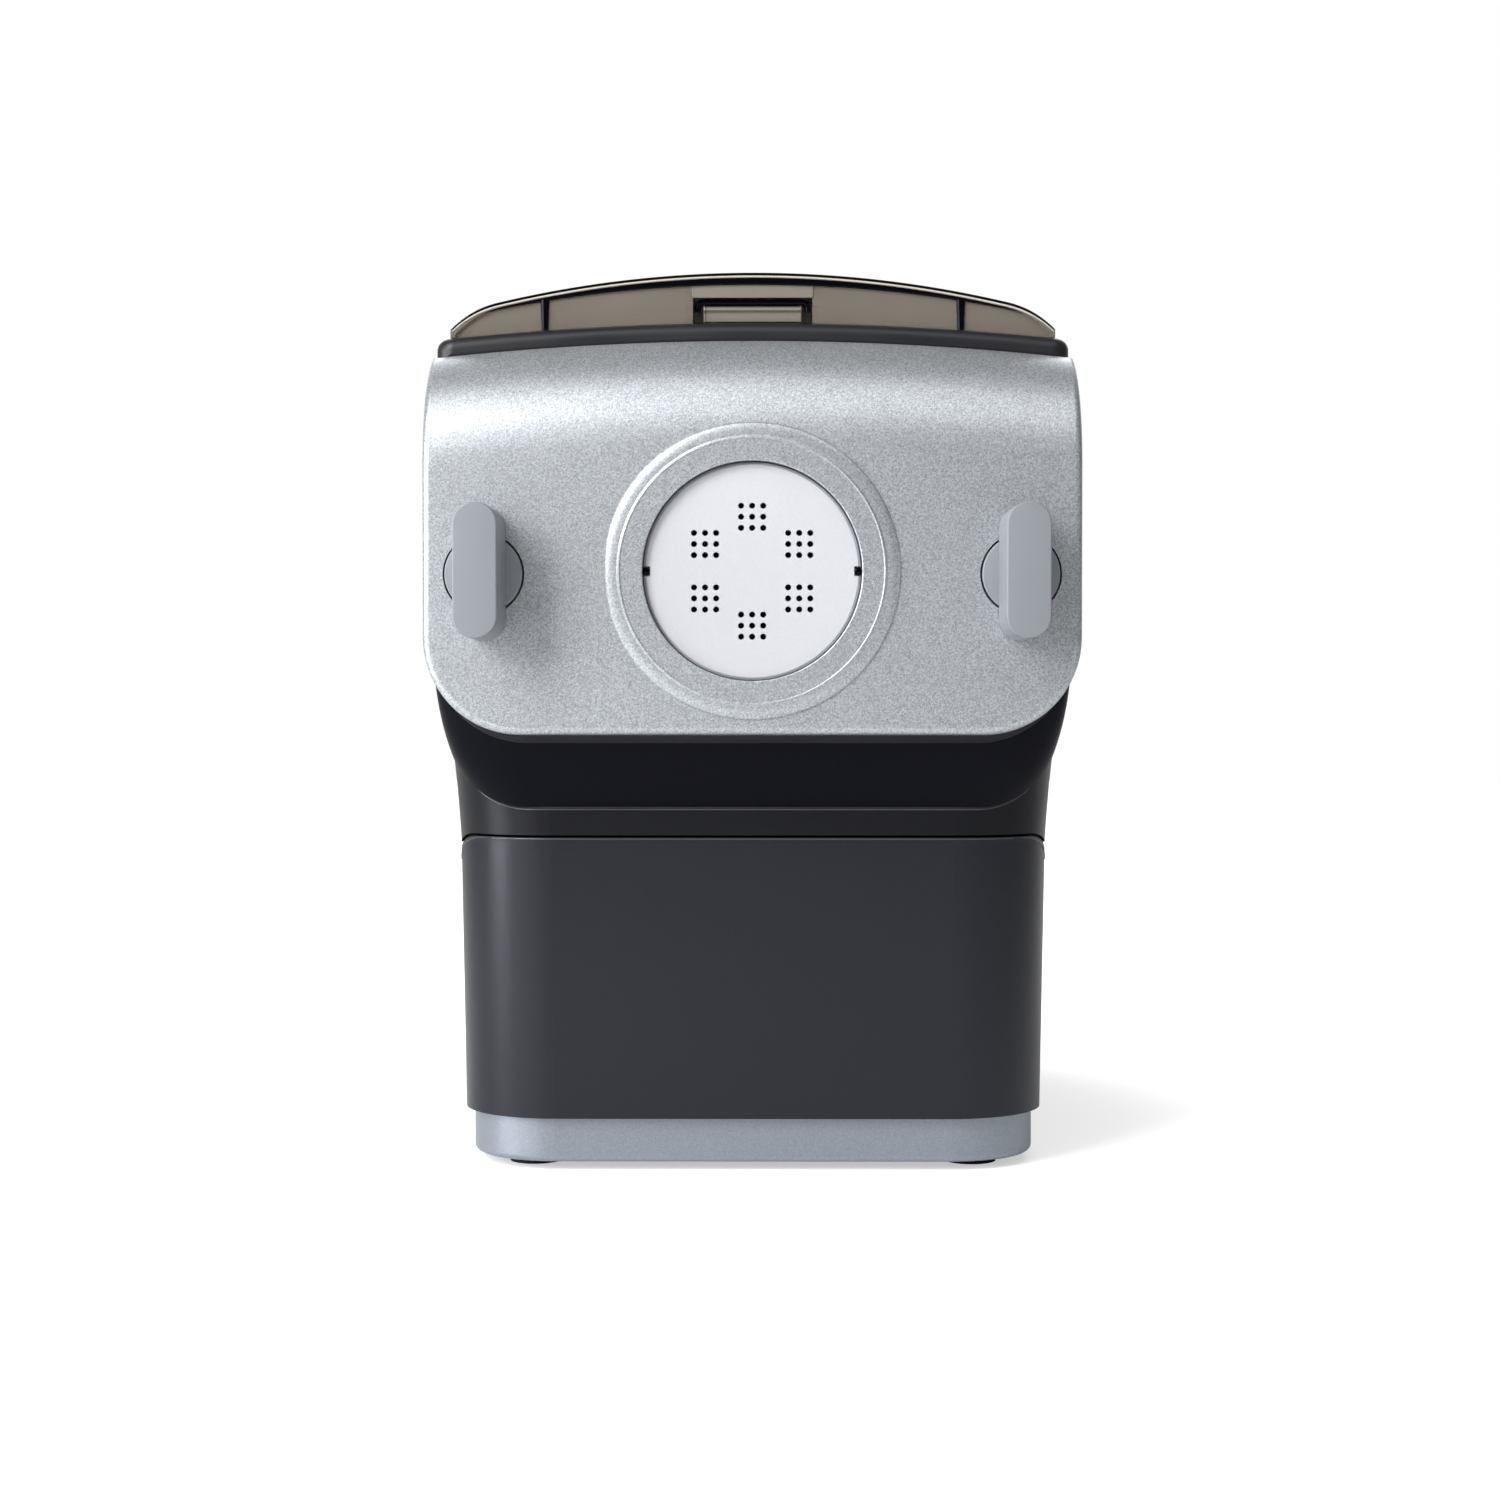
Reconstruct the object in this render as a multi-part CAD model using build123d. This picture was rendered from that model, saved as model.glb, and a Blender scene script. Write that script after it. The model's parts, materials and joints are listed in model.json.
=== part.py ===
from build123d import *
import math
import os

# Electric pasta maker. Millimetres, +Z up, front towards -Y, origin under the middle of the feet.

# ---- overall sizes ----
panel_width = 215.0
total_depth = 343.0
total_height = 304.0

# ---- heights, each from the one before ----
foot_height = 3.0
base_height = 15.0
drawer_height = 96.0
cowl_rise = 10.0
panel_foot_rise = 24.6
lid_rise = 17.0
deck_thickness = 19.0
chamber_drop = 4.0
crown_radius = 1000.0

# ---- walls and clearances ----
wall = 3.0
thin_wall = 2.4
seam = 0.4
press_fit = 0.02
running_fit = 0.05
slide_gap = 0.3
swing_gap = 0.8
bore_gap = 3.0

# ---- body ----
body_setback = 28.5
panel_overhang = 1.0
foot_lean = 6.0
flare_start_lean = 4.3
flare_start_drop = 2.0
flare_middle_lean = 2.5
flare_middle_rise = 20.0
flare_end_rise = 40.0
body_front_corner = 34.0
body_rear_corner = 30.0
rim_width = 12.0
pillar_radius = 5.0
pillar_height = 20.0
pillar_inset = 6.5
vent_rows = 8
vent_pitch = 8.0
vent_width = 86.0
vent_slot = 3.4

# ---- base pan and feet ----
base_inset = 3.0
base_front_inset = 3.5
base_rear_inset = 4.5
base_corner = 30.0
base_edge_round = 2.0
base_floor = 3.0
base_slots = 5
base_slot_pitch = 9.0
base_slot_length = 60.0
base_slot_width = 3.0
foot_radius = 9.0
foot_inset = 22.0
foot_stem_radius = 4.0
foot_stem = 7.0
foot_head = 1.5
screw_radius = 2.0
screw_head_radius = 3.8
screw_head = 2.2
screw_bite = 12.0
front_screw_inset = 60.0
rear_screw_inset = 50.0

# ---- front panel ----
panel_thickness = 12.0
backing_thickness = 3.0
backing_inset = 1.2
backing_drop = 2.8
panel_bend_drop = 45.0
panel_bend_radius = 42.0
panel_bend_angle = 68.0
panel_corner = 32.0
panel_edge_round = 2.4
collar_corner = 27.0
collar_foot_inset = 4.5
collar_face_inset = 1.5

# ---- nozzle ----
disc_radius = 35.4
disc_gap = 1.0
disc_thickness = 6.0
disc_recess = 1.2
disc_edge = 0.8
disc_flange = 3.0
disc_flange_thickness = 3.0
disc_notch_width = 3.2
disc_notch_reach = 2.2
nozzle_flat_width = 6.0
nozzle_flat_rise = 0.6
nozzle_groove = 0.6
nozzle_ring_width = 5.6
nozzle_ring_rise = 2.6
cluster_count = 6
cluster_radius = 17.7
hole_pitch = 3.6
hole_radius = 1.05
hole_sides = 8
hole_grid = 3

# ---- clamp knobs ----
knob_reach = 25.5
knob_inset = 20.1
knob_drop = 1.0
boss_radius = 12.5
boss_gap = 0.8
grip_width = 13.8
grip_height = 45.0
grip_taper = 3.0
grip_edge_round = 2.6
nut_radius = 7.5
nut_length = 13.0
nut_inset = 1.5
stud_radius = 4.0
stud_length = 24.0
stud_foot_radius = 8.0
stud_foot = 2.5
yoke_thickness = 2.5
yoke_margin = 5.0

# ---- mixing chamber ----
chamber_radius = 62.0
chamber_setback = 9.5
chamber_lip = 4.0
chamber_lip_thickness = 1.6
chamber_lip_drop = 0.4
tube_inner_radius = 21.6
tube_wall = 2.4
tube_reach = 50.0
plenum_inset = 4.4
plenum_depth = 12.0
throat_length = 6.0
tube_flange_width = 4.6

# ---- auger and paddle ----
auger_core_radius = 7.0
flight_gap = 0.6
flight_thickness = 3.0
auger_pitch = 22.0
auger_front_gap = 5.0
paddle_end_gap = 10.0
paddle_tip_gap = 7.6
paddle_bar = 7.0
paddle_corner = 12.0
paddle_hub_radius = 10.0
paddle_socket = 12.0
shaft_radius = 6.0
seal_width = 2.0

# ---- drive train, laid out forwards from the rear wall ----
fan_gap = 0.5
fan_depth = 6.0
fan_disc = 1.6
fan_radius = 33.0
fan_blades = 9
motor_gap = 1.0
bell_length = 14.0
bell_wall = 3.0
stator_length = 34.0
motor_square = 74.0
motor_corner = 8.0
air_gap = 0.5
coil_length = 9.0
coil_radius = 33.0
rotor_radius = 20.0
rotor_shaft_radius = 4.0
cover_thickness = 4.0
case_wall = 3.0
case_foot_radius = 18.0
gear_gap = 5.0
gear_room = 3.0
slow_module = 1.5
fast_module = 1.25
pinion_teeth = 12
wheel_teeth = 48
slow_face = 12.0
fast_face = 9.0
tooth_tip = 0.8
tooth_root = 1.05
pressure_angle = 25.0
backlash = 0.24
layshaft_radius = 4.0
screw_boss_radius = 5.0
screw_boss_out = 2.8
bulkhead_gap = 3.0
bulkhead_thickness = 3.0
bulkhead_flange = 14.0

# ---- storage drawer ----
drawer_wrap = 36.0
drawer_corner = 7.5
drawer_plate = 3.0
tray_side_gap = 13.5
tray_rear_gap = 21.5
tray_headroom = 12.0
tray_clearance = 3.0
tray_floor_z = 24.0
tray_corner = 6.0
runner_x = 58.0
runner_width = 9.0
runner_setback = 23.0
runner_short = 16.0
spare_disc_count = 3
spare_disc_pitch = 30.0
spare_disc_setback = 40.0
rack_height = 14.0
rack_seat = 4.0

# ---- lid and rear deck ----
lid_inset = 5.5
lid_setback = 4.5
lid_hinge_reach = 8.0
lid_crown_radius = 375.0
lid_shoulder = 16.0
lid_rim = 2.8
lid_wall = 2.4
lid_overhang = 1.2
lid_sheet = 1.6
rib_out = 8.2
rib_width = 3.4
rib_height = 7.0
slot_setback = 73.0
slot_length = 96.0
slot_width = 9.0
hinge_out = 4.0
hinge_setback = 6.0
hinge_pin_radius = 2.5
knuckle_radius = 5.5
knuckle_width = 14.0
ear_width = 5.0
catch_rise = 7.2
catch_width = 34.0
catch_bar_end = 2.5
catch_bar_radius = 1.9
catch_pin_radius = 1.0
catch_end_gap = 0.7
catch_recess_depth = 9.0
catch_headroom = 3.3
catch_inset = 4.0
deck_edge_round = 4.0
deck_front_corner = 6.0
deck_window_front = 12.0
deck_window_rear = 14.0
rear_cover_setback = 17.0
rear_cover_rise = 12.0
rear_cover_inset = 4.0
rear_cover_bevel = 6.0
rear_cover_shoulder = 30.0
board_drop = 10.0
fascia_width = 150.0
fascia_depth = 56.0
fascia_thickness = 1.6
fascia_setback = 13.0
fascia_corner = 6.0
window_width = 52.0
window_depth = 16.0
button_radius = 7.0
button_travel = 0.8
button_pitch = 24.0
button_rise = 0.8
button_flange = 1.4
switch_height = 2.0

# ---- electrics ----
inlet_inset = 42.5
inlet_z = 46.0
inlet_width = 27.0
inlet_height = 20.0
inlet_depth = 22.0
pin_radius = 1.2
board_thickness = 1.6
power_board_width = 106.0
power_board_depth = 78.0
power_board_x = -17.0
power_board_rear_gap = 21.5
power_board_rise = 4.0
plunger_setback = 30.0
plunger_inset = 16.0
plunger_radius = 1.8

# ---- worked out: heights ----
base_top = foot_height + base_height
drawer_top = base_top + drawer_height
cowl_foot = drawer_top + cowl_rise
panel_foot = cowl_foot + panel_foot_rise
flare_start_z = drawer_top - flare_start_drop
flare_middle_z = drawer_top + flare_middle_rise
flare_end_z = drawer_top + flare_end_rise
deck_top = total_height - lid_rise
deck_bottom = deck_top - deck_thickness
axis_z = deck_bottom - chamber_drop - chamber_radius
knob_z = axis_z - knob_drop
panel_bend_z = deck_top - panel_bend_drop
crown_centre_z = deck_top - crown_radius
rear_cover_top = deck_top + rear_cover_rise
catch_z = deck_top + catch_rise
slow_centres = slow_module * (pinion_teeth + wheel_teeth) / 2
fast_centres = fast_module * (pinion_teeth + wheel_teeth) / 2
layshaft_z = axis_z - slow_centres
motor_z = layshaft_z - fast_centres
tray_height = drawer_top - tray_floor_z - tray_headroom

# ---- worked out: widths ----
body_width = panel_width - 2 * panel_overhang
body_foot_width = body_width - 2 * foot_lean
flare_start_width = body_width - 2 * flare_start_lean
flare_middle_width = body_width - 2 * flare_middle_lean
base_width = body_foot_width - 2 * base_inset
collar_foot_width = panel_width - 2 * collar_foot_inset
collar_face_width = panel_width - 2 * collar_face_inset
lid_width = panel_width - 2 * lid_inset
tray_width = body_foot_width - 2 * (wall + tray_side_gap)
knob_x = panel_width / 2 - knob_inset
rib_x = chamber_radius + rib_out
hinge_x = chamber_radius + hinge_out
plunger_x = lid_width / 2 - plunger_inset
inlet_x = body_foot_width / 2 - inlet_inset
catch_bar_width = catch_width + 2 * catch_bar_end
catch_recess_width = catch_bar_width + 2 * catch_end_gap
catch_recess_top = catch_z + catch_headroom
nozzle_bore_radius = disc_radius + disc_gap
nozzle_flat_radius = nozzle_bore_radius + nozzle_flat_width
nozzle_ring_radius = nozzle_flat_radius + nozzle_ring_width
plenum_radius = disc_radius - plenum_inset
tube_flange_radius = disc_radius + disc_flange + tube_flange_width
nose_radius = plenum_radius + tube_wall + slide_gap
panel_bore_radius = nozzle_bore_radius + thin_wall
screw_shaft_radius = screw_radius - press_fit
paddle_reach = chamber_radius - thin_wall - paddle_tip_gap

# ---- worked out: depths, from the front face back and from the rear wall forwards ----
rear_y = total_depth / 2
panel_face_y = knob_reach - rear_y
backing_face_y = panel_face_y + panel_thickness
collar_face_y = backing_face_y + backing_thickness
body_front_y = panel_face_y + body_setback
base_front_y = body_front_y + base_front_inset
base_rear_y = rear_y - base_rear_inset
bend_y = panel_face_y + panel_bend_radius
disc_front_y = panel_face_y + disc_recess
disc_rear_y = disc_front_y + disc_thickness + disc_flange_thickness
tube_front_y = disc_rear_y + slide_gap
yoke_y = collar_face_y + wall
stud_tip_y = yoke_y - stud_length
chamber_front_y = body_front_y + chamber_setback
tube_rear_y = chamber_front_y + tube_reach
paddle_front_y = tube_rear_y + paddle_socket
drawer_ledge_y = body_front_y + drawer_wrap + seam
tray_front_y = body_front_y + wall + drawer_plate
fan_y = rear_y - wall - fan_gap - fan_depth
motor_rear_y = fan_y - motor_gap
stator_y = motor_rear_y - bell_length - stator_length
cover_rear_y = stator_y - bell_length
case_rear_y = cover_rear_y - cover_thickness
fast_plane_y = case_rear_y - gear_gap - fast_face
slow_plane_y = fast_plane_y - gear_gap - slow_face
case_front_y = slow_plane_y - bore_gap - case_wall
bulkhead_y = case_front_y - bulkhead_gap - bulkhead_thickness
chamber_rear_y = bulkhead_y - chamber_lip
paddle_rear_y = chamber_rear_y - paddle_end_gap
tray_depth = bulkhead_y - tray_rear_gap - tray_front_y
hinge_y = bulkhead_y + hinge_setback
lid_front_y = body_front_y + lid_setback
lid_rear_y = hinge_y - lid_hinge_reach
slot_y = lid_front_y + slot_setback
plunger_y = lid_rear_y - plunger_setback
rear_cover_front_y = hinge_y + rear_cover_setback
fascia_y = rear_cover_front_y + fascia_setback + fascia_depth / 2


# ---- shared shapes ----
def block(x0, x1, y0, y1, z0, z1):
    """A box between six limits."""
    return Pos((x0 + x1) / 2, (y0 + y1) / 2, (z0 + z1) / 2) * Box(x1 - x0, y1 - y0, z1 - z0)


def rod(x, z, y0, y1, radius):
    """A cylinder along Y."""
    return Pos(x, (y0 + y1) / 2, z) * Rot(90, 0, 0) * Cylinder(radius, y1 - y0)


def post(x, y, z0, z1, radius):
    """An upright cylinder."""
    return Pos(x, y, (z0 + z1) / 2) * Cylinder(radius, z1 - z0)


def along_y(face, y0, y1):
    """A front-view face (x right, z up) carried from y0 to y1."""
    plane = Plane(origin=(0, y1, 0), x_dir=(1, 0, 0), z_dir=(0, -1, 0))
    return extrude(plane * face, amount=y1 - y0)


def along_x(face, x0, x1):
    """A side-view face (y right, z up) carried from x0 to x1."""
    return extrude(Plane.YZ.offset(x0) * face, amount=x1 - x0)


def along_z(face, z0, z1):
    """A plan-view face carried from z0 to z1."""
    return extrude(Plane.XY.offset(z0) * face, amount=z1 - z0)


def spun(points, x=0.0, z=0.0):
    """A closed outline of (radius, y) points turned about the axis along Y through (x, z)."""
    outline = make_face(Polyline(*points, close=True))
    return Pos(x, 0, z) * revolve(outline, Axis.Y)


def bib(width, bottom, top, corner):
    """A front-view rectangle with its two lower corners rounded."""
    face = Pos(0, (bottom + top) / 2) * Rectangle(width, top - bottom)
    return fillet(face.vertices().sort_by(Axis.Y)[:2], corner)


def rounded_plan(width, y0, y1, front_corner, rear_corner):
    """A plan-view rectangle with one radius at the front and one at the rear."""
    face = Pos(0, (y0 + y1) / 2) * Rectangle(width, y1 - y0)
    face = fillet(face.vertices().sort_by(Axis.Y)[:2], front_corner)
    return fillet(face.vertices().sort_by(Axis.Y)[-2:], rear_corner)


def arched(x, z):
    """The height at x of the crown's arch that stands at z in the middle."""
    return crown_centre_z + math.sqrt((z - crown_centre_z) ** 2 - x ** 2)


def arch_face(half, z, bottom):
    """A front-view face with a flat foot and the crown's arch on top."""
    outline = Curve() + [
        ThreePointArc((-half, arched(half, z)), (0, z), (half, arched(half, z))),
        Polyline((half, arched(half, z)), (half, bottom), (-half, bottom), (-half, arched(half, z))),
    ]
    return make_face(outline)


def arch_sweep(face):
    """A side-view face (y right, z up) turned about the crown's centre line, so that it follows the arch."""
    reach = math.degrees(math.asin((panel_width / 2 + 5) / (panel_foot - 5 - crown_centre_z)))
    axis = Axis((0, 0, crown_centre_z), (0, 1, 0))
    return revolve((Plane.YZ * face).rotate(axis, -reach), axis, 2 * reach)


def body_form(inset):
    """The whole outer form of the body: rounded plans that lean out slightly, then flare under the panel."""
    def plan(width, z):
        face = rounded_plan(width - 2 * inset, body_front_y + inset, rear_y - inset,
                            body_front_corner - inset, body_rear_corner - inset)
        return Pos(0, 0, z) * face

    lower = loft([plan(body_foot_width, base_top), plan(flare_start_width, flare_start_z)], ruled=True)
    flare = loft([plan(flare_start_width, flare_start_z), plan(flare_middle_width, flare_middle_z),
                  plan(body_width, flare_end_z)])
    upper = extrude(plan(body_width, flare_end_z), amount=deck_bottom - flare_end_z)
    return lower + flare + upper


def slab(outer_radius, inner_radius, foot):
    """An upright slab that bends back at its top, follows the crown and is cut off square to the bend."""
    turn = math.radians(panel_bend_angle)
    mid = turn / 2

    def on_bend(radius, angle):
        return bend_y - radius * math.cos(angle), panel_bend_z + radius * math.sin(angle)

    outline = Curve() + [
        Line((bend_y - outer_radius, foot), on_bend(outer_radius, 0)),
        ThreePointArc(on_bend(outer_radius, 0), on_bend(outer_radius, mid), on_bend(outer_radius, turn)),
        Line(on_bend(outer_radius, turn), on_bend(inner_radius, turn)),
        ThreePointArc(on_bend(inner_radius, turn), on_bend(inner_radius, mid), on_bend(inner_radius, 0)),
        Line(on_bend(inner_radius, 0), (bend_y - inner_radius, foot)),
        Line((bend_y - inner_radius, foot), (bend_y - outer_radius, foot)),
    ]
    return arch_sweep(make_face(outline))


# ---- base ----
def foot_places():
    x = base_width / 2 - foot_inset
    ys = (base_front_y + foot_inset, base_rear_y - foot_inset)
    return [(sx * x, y) for y in ys for sx in (-1, 1)]


def base_pan():
    """A shallow open pan with screw pillars and holes for the feet."""
    outer = along_z(rounded_plan(base_width, base_front_y, base_rear_y, base_corner, base_corner),
                    foot_height, base_top)
    outer = fillet(outer.faces().sort_by(Axis.Z)[0].edges(), base_edge_round)
    inner = along_z(rounded_plan(base_width - 2 * wall, base_front_y + wall, base_rear_y - wall,
                                 base_corner - wall, base_corner - wall),
                    foot_height + base_floor, base_top + 1)
    pan = outer - inner
    floor = foot_height + base_floor
    for x, y in base_screw_places():
        pan += post(x, y, floor - 0.5, base_top, pillar_radius)
        pan -= post(x, y, foot_height - 1, base_top + 1, screw_radius)
        pan -= post(x, y, foot_height - 1, foot_height + screw_head, screw_head_radius + seam)
    for x, y in foot_places():
        pan -= post(x, y, 0, floor + 1, foot_stem_radius)
    for row in range(base_slots):
        x = (row - (base_slots - 1) / 2) * base_slot_pitch
        slot = Pos(x, (fast_plane_y + motor_rear_y) / 2) * Rectangle(base_slot_width, base_slot_length)
        pan -= along_z(slot, foot_height - 1, floor + 1)
    return pan


def rubber_feet():
    """Round feet with a stem and a retaining head above the pan floor."""
    feet = []
    for x, y in foot_places():
        foot = post(x, y, 0, foot_height, foot_radius)
        floor = foot_height + base_floor
        foot += post(x, y, foot_height - 0.5, floor + 0.5, foot_stem_radius)
        foot += post(x, y, floor, foot_height + foot_stem, foot_stem_radius + foot_head)
        feet.append(foot)
    return Compound(children=feet)


def base_screw_places():
    x = base_width / 2 - pillar_inset
    ys = (base_front_y + front_screw_inset, base_rear_y - rear_screw_inset)
    return [(sx * x, y) for y in ys for sx in (-1, 1)]


def base_screws():
    """Screws from under the pan into the housing's pillars."""
    screws = []
    for x, y in base_screw_places():
        screw = post(x, y, foot_height, foot_height + screw_head, screw_head_radius)
        screw += post(x, y, foot_height + screw_head - 0.2, base_top + screw_bite, screw_shaft_radius)
        screws.append(screw)
    return Compound(children=screws)


# ---- housing ----
def drawer_zone(gap):
    """The front of the body that belongs to the drawer, with round upper corners."""
    top = drawer_top + gap
    shoulder = top - drawer_corner
    bottom = base_top - gap
    face = Pos(0, (bottom + shoulder) / 2) * Rectangle(body_width + 20, shoulder - bottom)
    brow = Pos(0, (bottom + top) / 2) * Rectangle(flare_start_width + 2 * seam + 2 * gap, top - bottom)
    face += fillet(brow.vertices().sort_by(Axis.Y)[-2:], drawer_corner)
    return along_y(face, body_front_y - 1, body_front_y + drawer_wrap + gap)


def main_housing():
    """The moulded body: a flared shell, open on top, with a drawer opening and rear vents."""
    shell = body_form(0) - body_form(wall)
    rim = rounded_plan(body_foot_width - wall, body_front_y + wall / 2, rear_y - wall / 2,
                       body_front_corner, body_rear_corner)
    rim -= rounded_plan(body_foot_width - 2 * rim_width, body_front_y + rim_width, rear_y - rim_width,
                        body_front_corner - rim_width, body_rear_corner - rim_width)
    shell += along_z(rim, base_top, base_top + wall)
    shell -= drawer_zone(seam)
    half = tray_width / 2 + tray_clearance
    frame = Pos(0, (base_top + drawer_top) / 2 + 1) * Rectangle(body_width, drawer_top - base_top + 2)
    opening_top = tray_floor_z + tray_height + tray_clearance
    frame -= Pos(0, (base_top + opening_top) / 2) * Rectangle(2 * half, opening_top - base_top + 2)
    shell += along_y(frame, drawer_ledge_y, drawer_ledge_y + wall) & body_form(wall / 2)
    brow = block(-body_width / 2, body_width / 2, body_front_y + 1, drawer_ledge_y + wall,
                 drawer_top + seam, drawer_top + seam + wall)
    shell += brow & body_form(wall / 2)
    shell -= bend_room(0)
    shell -= rod(0, axis_z, body_front_y - 1, body_front_y + wall + 1, nose_radius)
    for side in (-1, 1):
        shell -= rod(side * knob_x, knob_z, body_front_y - 1, body_front_y + body_front_corner,
                     stud_foot_radius + 1)
    for x, y in base_screw_places():
        shell += post(x, y, base_top, base_top + pillar_height, pillar_radius)
        shell -= post(x, y, base_top - 1, base_top + pillar_height - 3, screw_radius)
    shell -= block(inlet_x - inlet_width / 2, inlet_x + inlet_width / 2, rear_y - wall - 1, rear_y + 1,
                   inlet_z - inlet_height / 2, inlet_z + inlet_height / 2)
    for row in range(vent_rows):
        slot = Pos(0, motor_z + (row - (vent_rows - 1) / 2) * vent_pitch) * Rectangle(vent_width, vent_slot)
        shell -= along_y(slot, rear_y - wall - 1, rear_y + 1)
    return shell


def bend_room(depth):
    """The space in front of and above the bend, down to a depth under the collar's face."""
    radius = bend_y - collar_face_y - depth
    reach = panel_bend_radius + 30
    room = Pos(bend_y - reach / 2, panel_bend_z + reach / 2) * Rectangle(reach, reach)
    return arch_sweep(room - Pos(bend_y, panel_bend_z) * Circle(radius))


def front_collar():
    """The dark scoop that carries the front panel and blends back into the rounded body."""
    foot = bib(collar_foot_width, cowl_foot, deck_bottom, collar_corner)
    middle_width = (collar_foot_width + collar_face_width) / 2
    middle = bib(middle_width, cowl_foot + 2 * wall, deck_bottom, collar_corner + 1)
    face = bib(collar_face_width, panel_foot - wall, deck_bottom, collar_corner + 4)
    sections = []
    for y, shape in ((body_front_y, foot), (body_front_y - 5, middle), (collar_face_y, face)):
        plane = Plane(origin=(0, y, 0), x_dir=(1, 0, 0), z_dir=(0, -1, 0))
        sections.append(plane * shape)
    collar = loft(sections) + along_y(foot, body_front_y, body_front_y + body_front_corner + 8)
    hollow = bib(collar_foot_width - 4 * wall, panel_foot + wall, deck_bottom + 1, collar_corner)
    collar -= along_y(hollow, collar_face_y + wall, rear_y) - bend_room(wall)
    collar -= body_form(0)
    collar -= bend_room(0)
    collar -= rod(0, axis_z, collar_face_y - 1, body_front_y + 1, nose_radius)
    for side in (-1, 1):
        collar -= rod(side * knob_x, knob_z, collar_face_y - 1, body_front_y + 1, stud_radius + 1.0)
    return collar


def top_deck():
    """The dark frame on top of the body, with the chamber opening, lid seat and hinge ears."""
    turn = math.radians(panel_bend_angle)
    rim = panel_bend_radius + 0.6
    front_low = (bend_y - (panel_bend_radius - panel_thickness) * math.cos(turn) + 1.2, deck_bottom)
    front_mid = (bend_y - rim * math.cos(turn) + 0.8, panel_bend_z + rim * math.sin(turn))
    front_top = (front_mid[0], deck_top)
    outline = Polyline(front_low, front_mid, front_top, (rear_y, deck_top), (rear_y, deck_bottom), close=True)
    plan = rounded_plan(body_width, front_mid[0], rear_y, deck_front_corner, body_rear_corner)
    deck = arch_sweep(make_face(outline)) & along_z(plan, deck_bottom, deck_top + 1)
    deck = fillet(deck.faces().sort_by(Axis.Z)[-1].edges(), deck_edge_round)
    deck -= chamber_hollow(chamber_radius + slide_gap, chamber_front_y - slide_gap, chamber_rear_y + slide_gap)
    lip = chamber_radius + chamber_lip + slide_gap
    deck -= block(-lip, lip, chamber_front_y - chamber_lip + 1, chamber_rear_y + 1 + chamber_lip / 2,
                  chamber_top() - chamber_lip_thickness, deck_top + 1)
    deck -= block(-fascia_width / 2, fascia_width / 2, rear_cover_front_y + deck_window_front,
                  rear_y - deck_window_rear, deck_bottom - 1, deck_top + 1)
    for x in hinge_ear_places():
        ear = block(x - ear_width / 2, x + ear_width / 2, hinge_y - knuckle_radius, hinge_y + knuckle_radius,
                    arched(x, deck_top) - 3, hinge_z())
        ear += Pos(x, hinge_y, hinge_z()) * Rot(0, 90, 0) * Cylinder(knuckle_radius, ear_width)
        ear -= Pos(x, hinge_y, hinge_z()) * Rot(0, 90, 0) * Cylinder(hinge_pin_radius, ear_width + 1)
        deck += ear
    return deck - post(plunger_x, plunger_y, deck_bottom - 1, deck_top + 1, plunger_radius + slide_gap)


def hinge_z():
    """The hinge line's height, which lets the knuckles swing clear of the crowned deck."""
    return arched(hinge_x - knuckle_width / 2, deck_top) + knuckle_radius + swing_gap


def hinge_ear_places():
    offset = (knuckle_width + ear_width) / 2 + swing_gap
    return [side * hinge_x + way * offset for side in (-1, 1) for way in (-1, 1)]


def rear_cover_face(inset):
    """Front view of the control housing: a flat top that falls away in long curves to the deck."""
    half = lid_width / 2 - inset
    shelf = fascia_width / 2 + 4
    top = rear_cover_top - inset
    foot = arched(lid_width / 2, deck_top)
    points = [(-half, foot), (-half, foot + 2), (-shelf, top), (shelf, top), (half, foot + 2), (half, foot)]
    face = make_face(Polyline(*points, close=True))
    return fillet(face.vertices().sort_by(Axis.Y)[-2:], rear_cover_shoulder)


def rear_cover():
    """The cover over the electronics, bevelled at the back, with the fascia's pocket and button holes."""
    foot = arched(lid_width / 2, deck_top)
    rear = rear_y - rear_cover_inset
    outer = along_y(rear_cover_face(0), rear_cover_front_y, rear)
    front_edges = outer.faces().sort_by(Axis.Y)[0].edges().filter_by(lambda e: e.center().Z > foot + 1.5)
    outer = fillet(front_edges, 3.0)
    rear_edges = outer.faces().sort_by(Axis.Y)[-1].edges().filter_by(lambda e: e.center().Z > foot + 1.5)
    outer = chamfer(rear_edges, rear_cover_bevel)
    inner = along_y(rear_cover_face(wall), rear_cover_front_y + wall, rear - rear_cover_bevel - wall)
    deck_form = arch_face(body_width / 2, deck_top, deck_bottom)
    cover = outer - inner - along_y(deck_form, rear_cover_front_y - 1, rear + 1)
    cover -= fascia_pocket(0)
    for x in button_places():
        cover -= post(x, button_row_y(), rear_cover_top - 2 * wall, rear_cover_top + 1,
                      button_radius + slide_gap)
    window = block(-window_width / 2 - 2, window_width / 2 + 2, display_y() - window_depth / 2 - 1,
                   display_y() + window_depth / 2 + 1, rear_cover_top - 2 * wall, rear_cover_top + 1)
    return cover - window


def fascia_pocket(gap):
    face = RectangleRounded(fascia_width - 2 * gap, fascia_depth - 2 * gap, fascia_corner - gap)
    return Pos(0, fascia_y, 0) * along_z(face, rear_cover_top - fascia_thickness, rear_cover_top)


def display_y():
    return fascia_y + 12.0


def button_row_y():
    return fascia_y - 14.0


def button_places():
    return [(i - 1.5) * button_pitch for i in range(4)]


def control_fascia():
    """The glossy plate over the display and round the buttons."""
    plate = fascia_pocket(slide_gap / 2)
    for x in button_places():
        plate -= post(x, button_row_y(), rear_cover_top - wall, rear_cover_top + 1, button_radius + slide_gap)
    return plate


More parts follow.
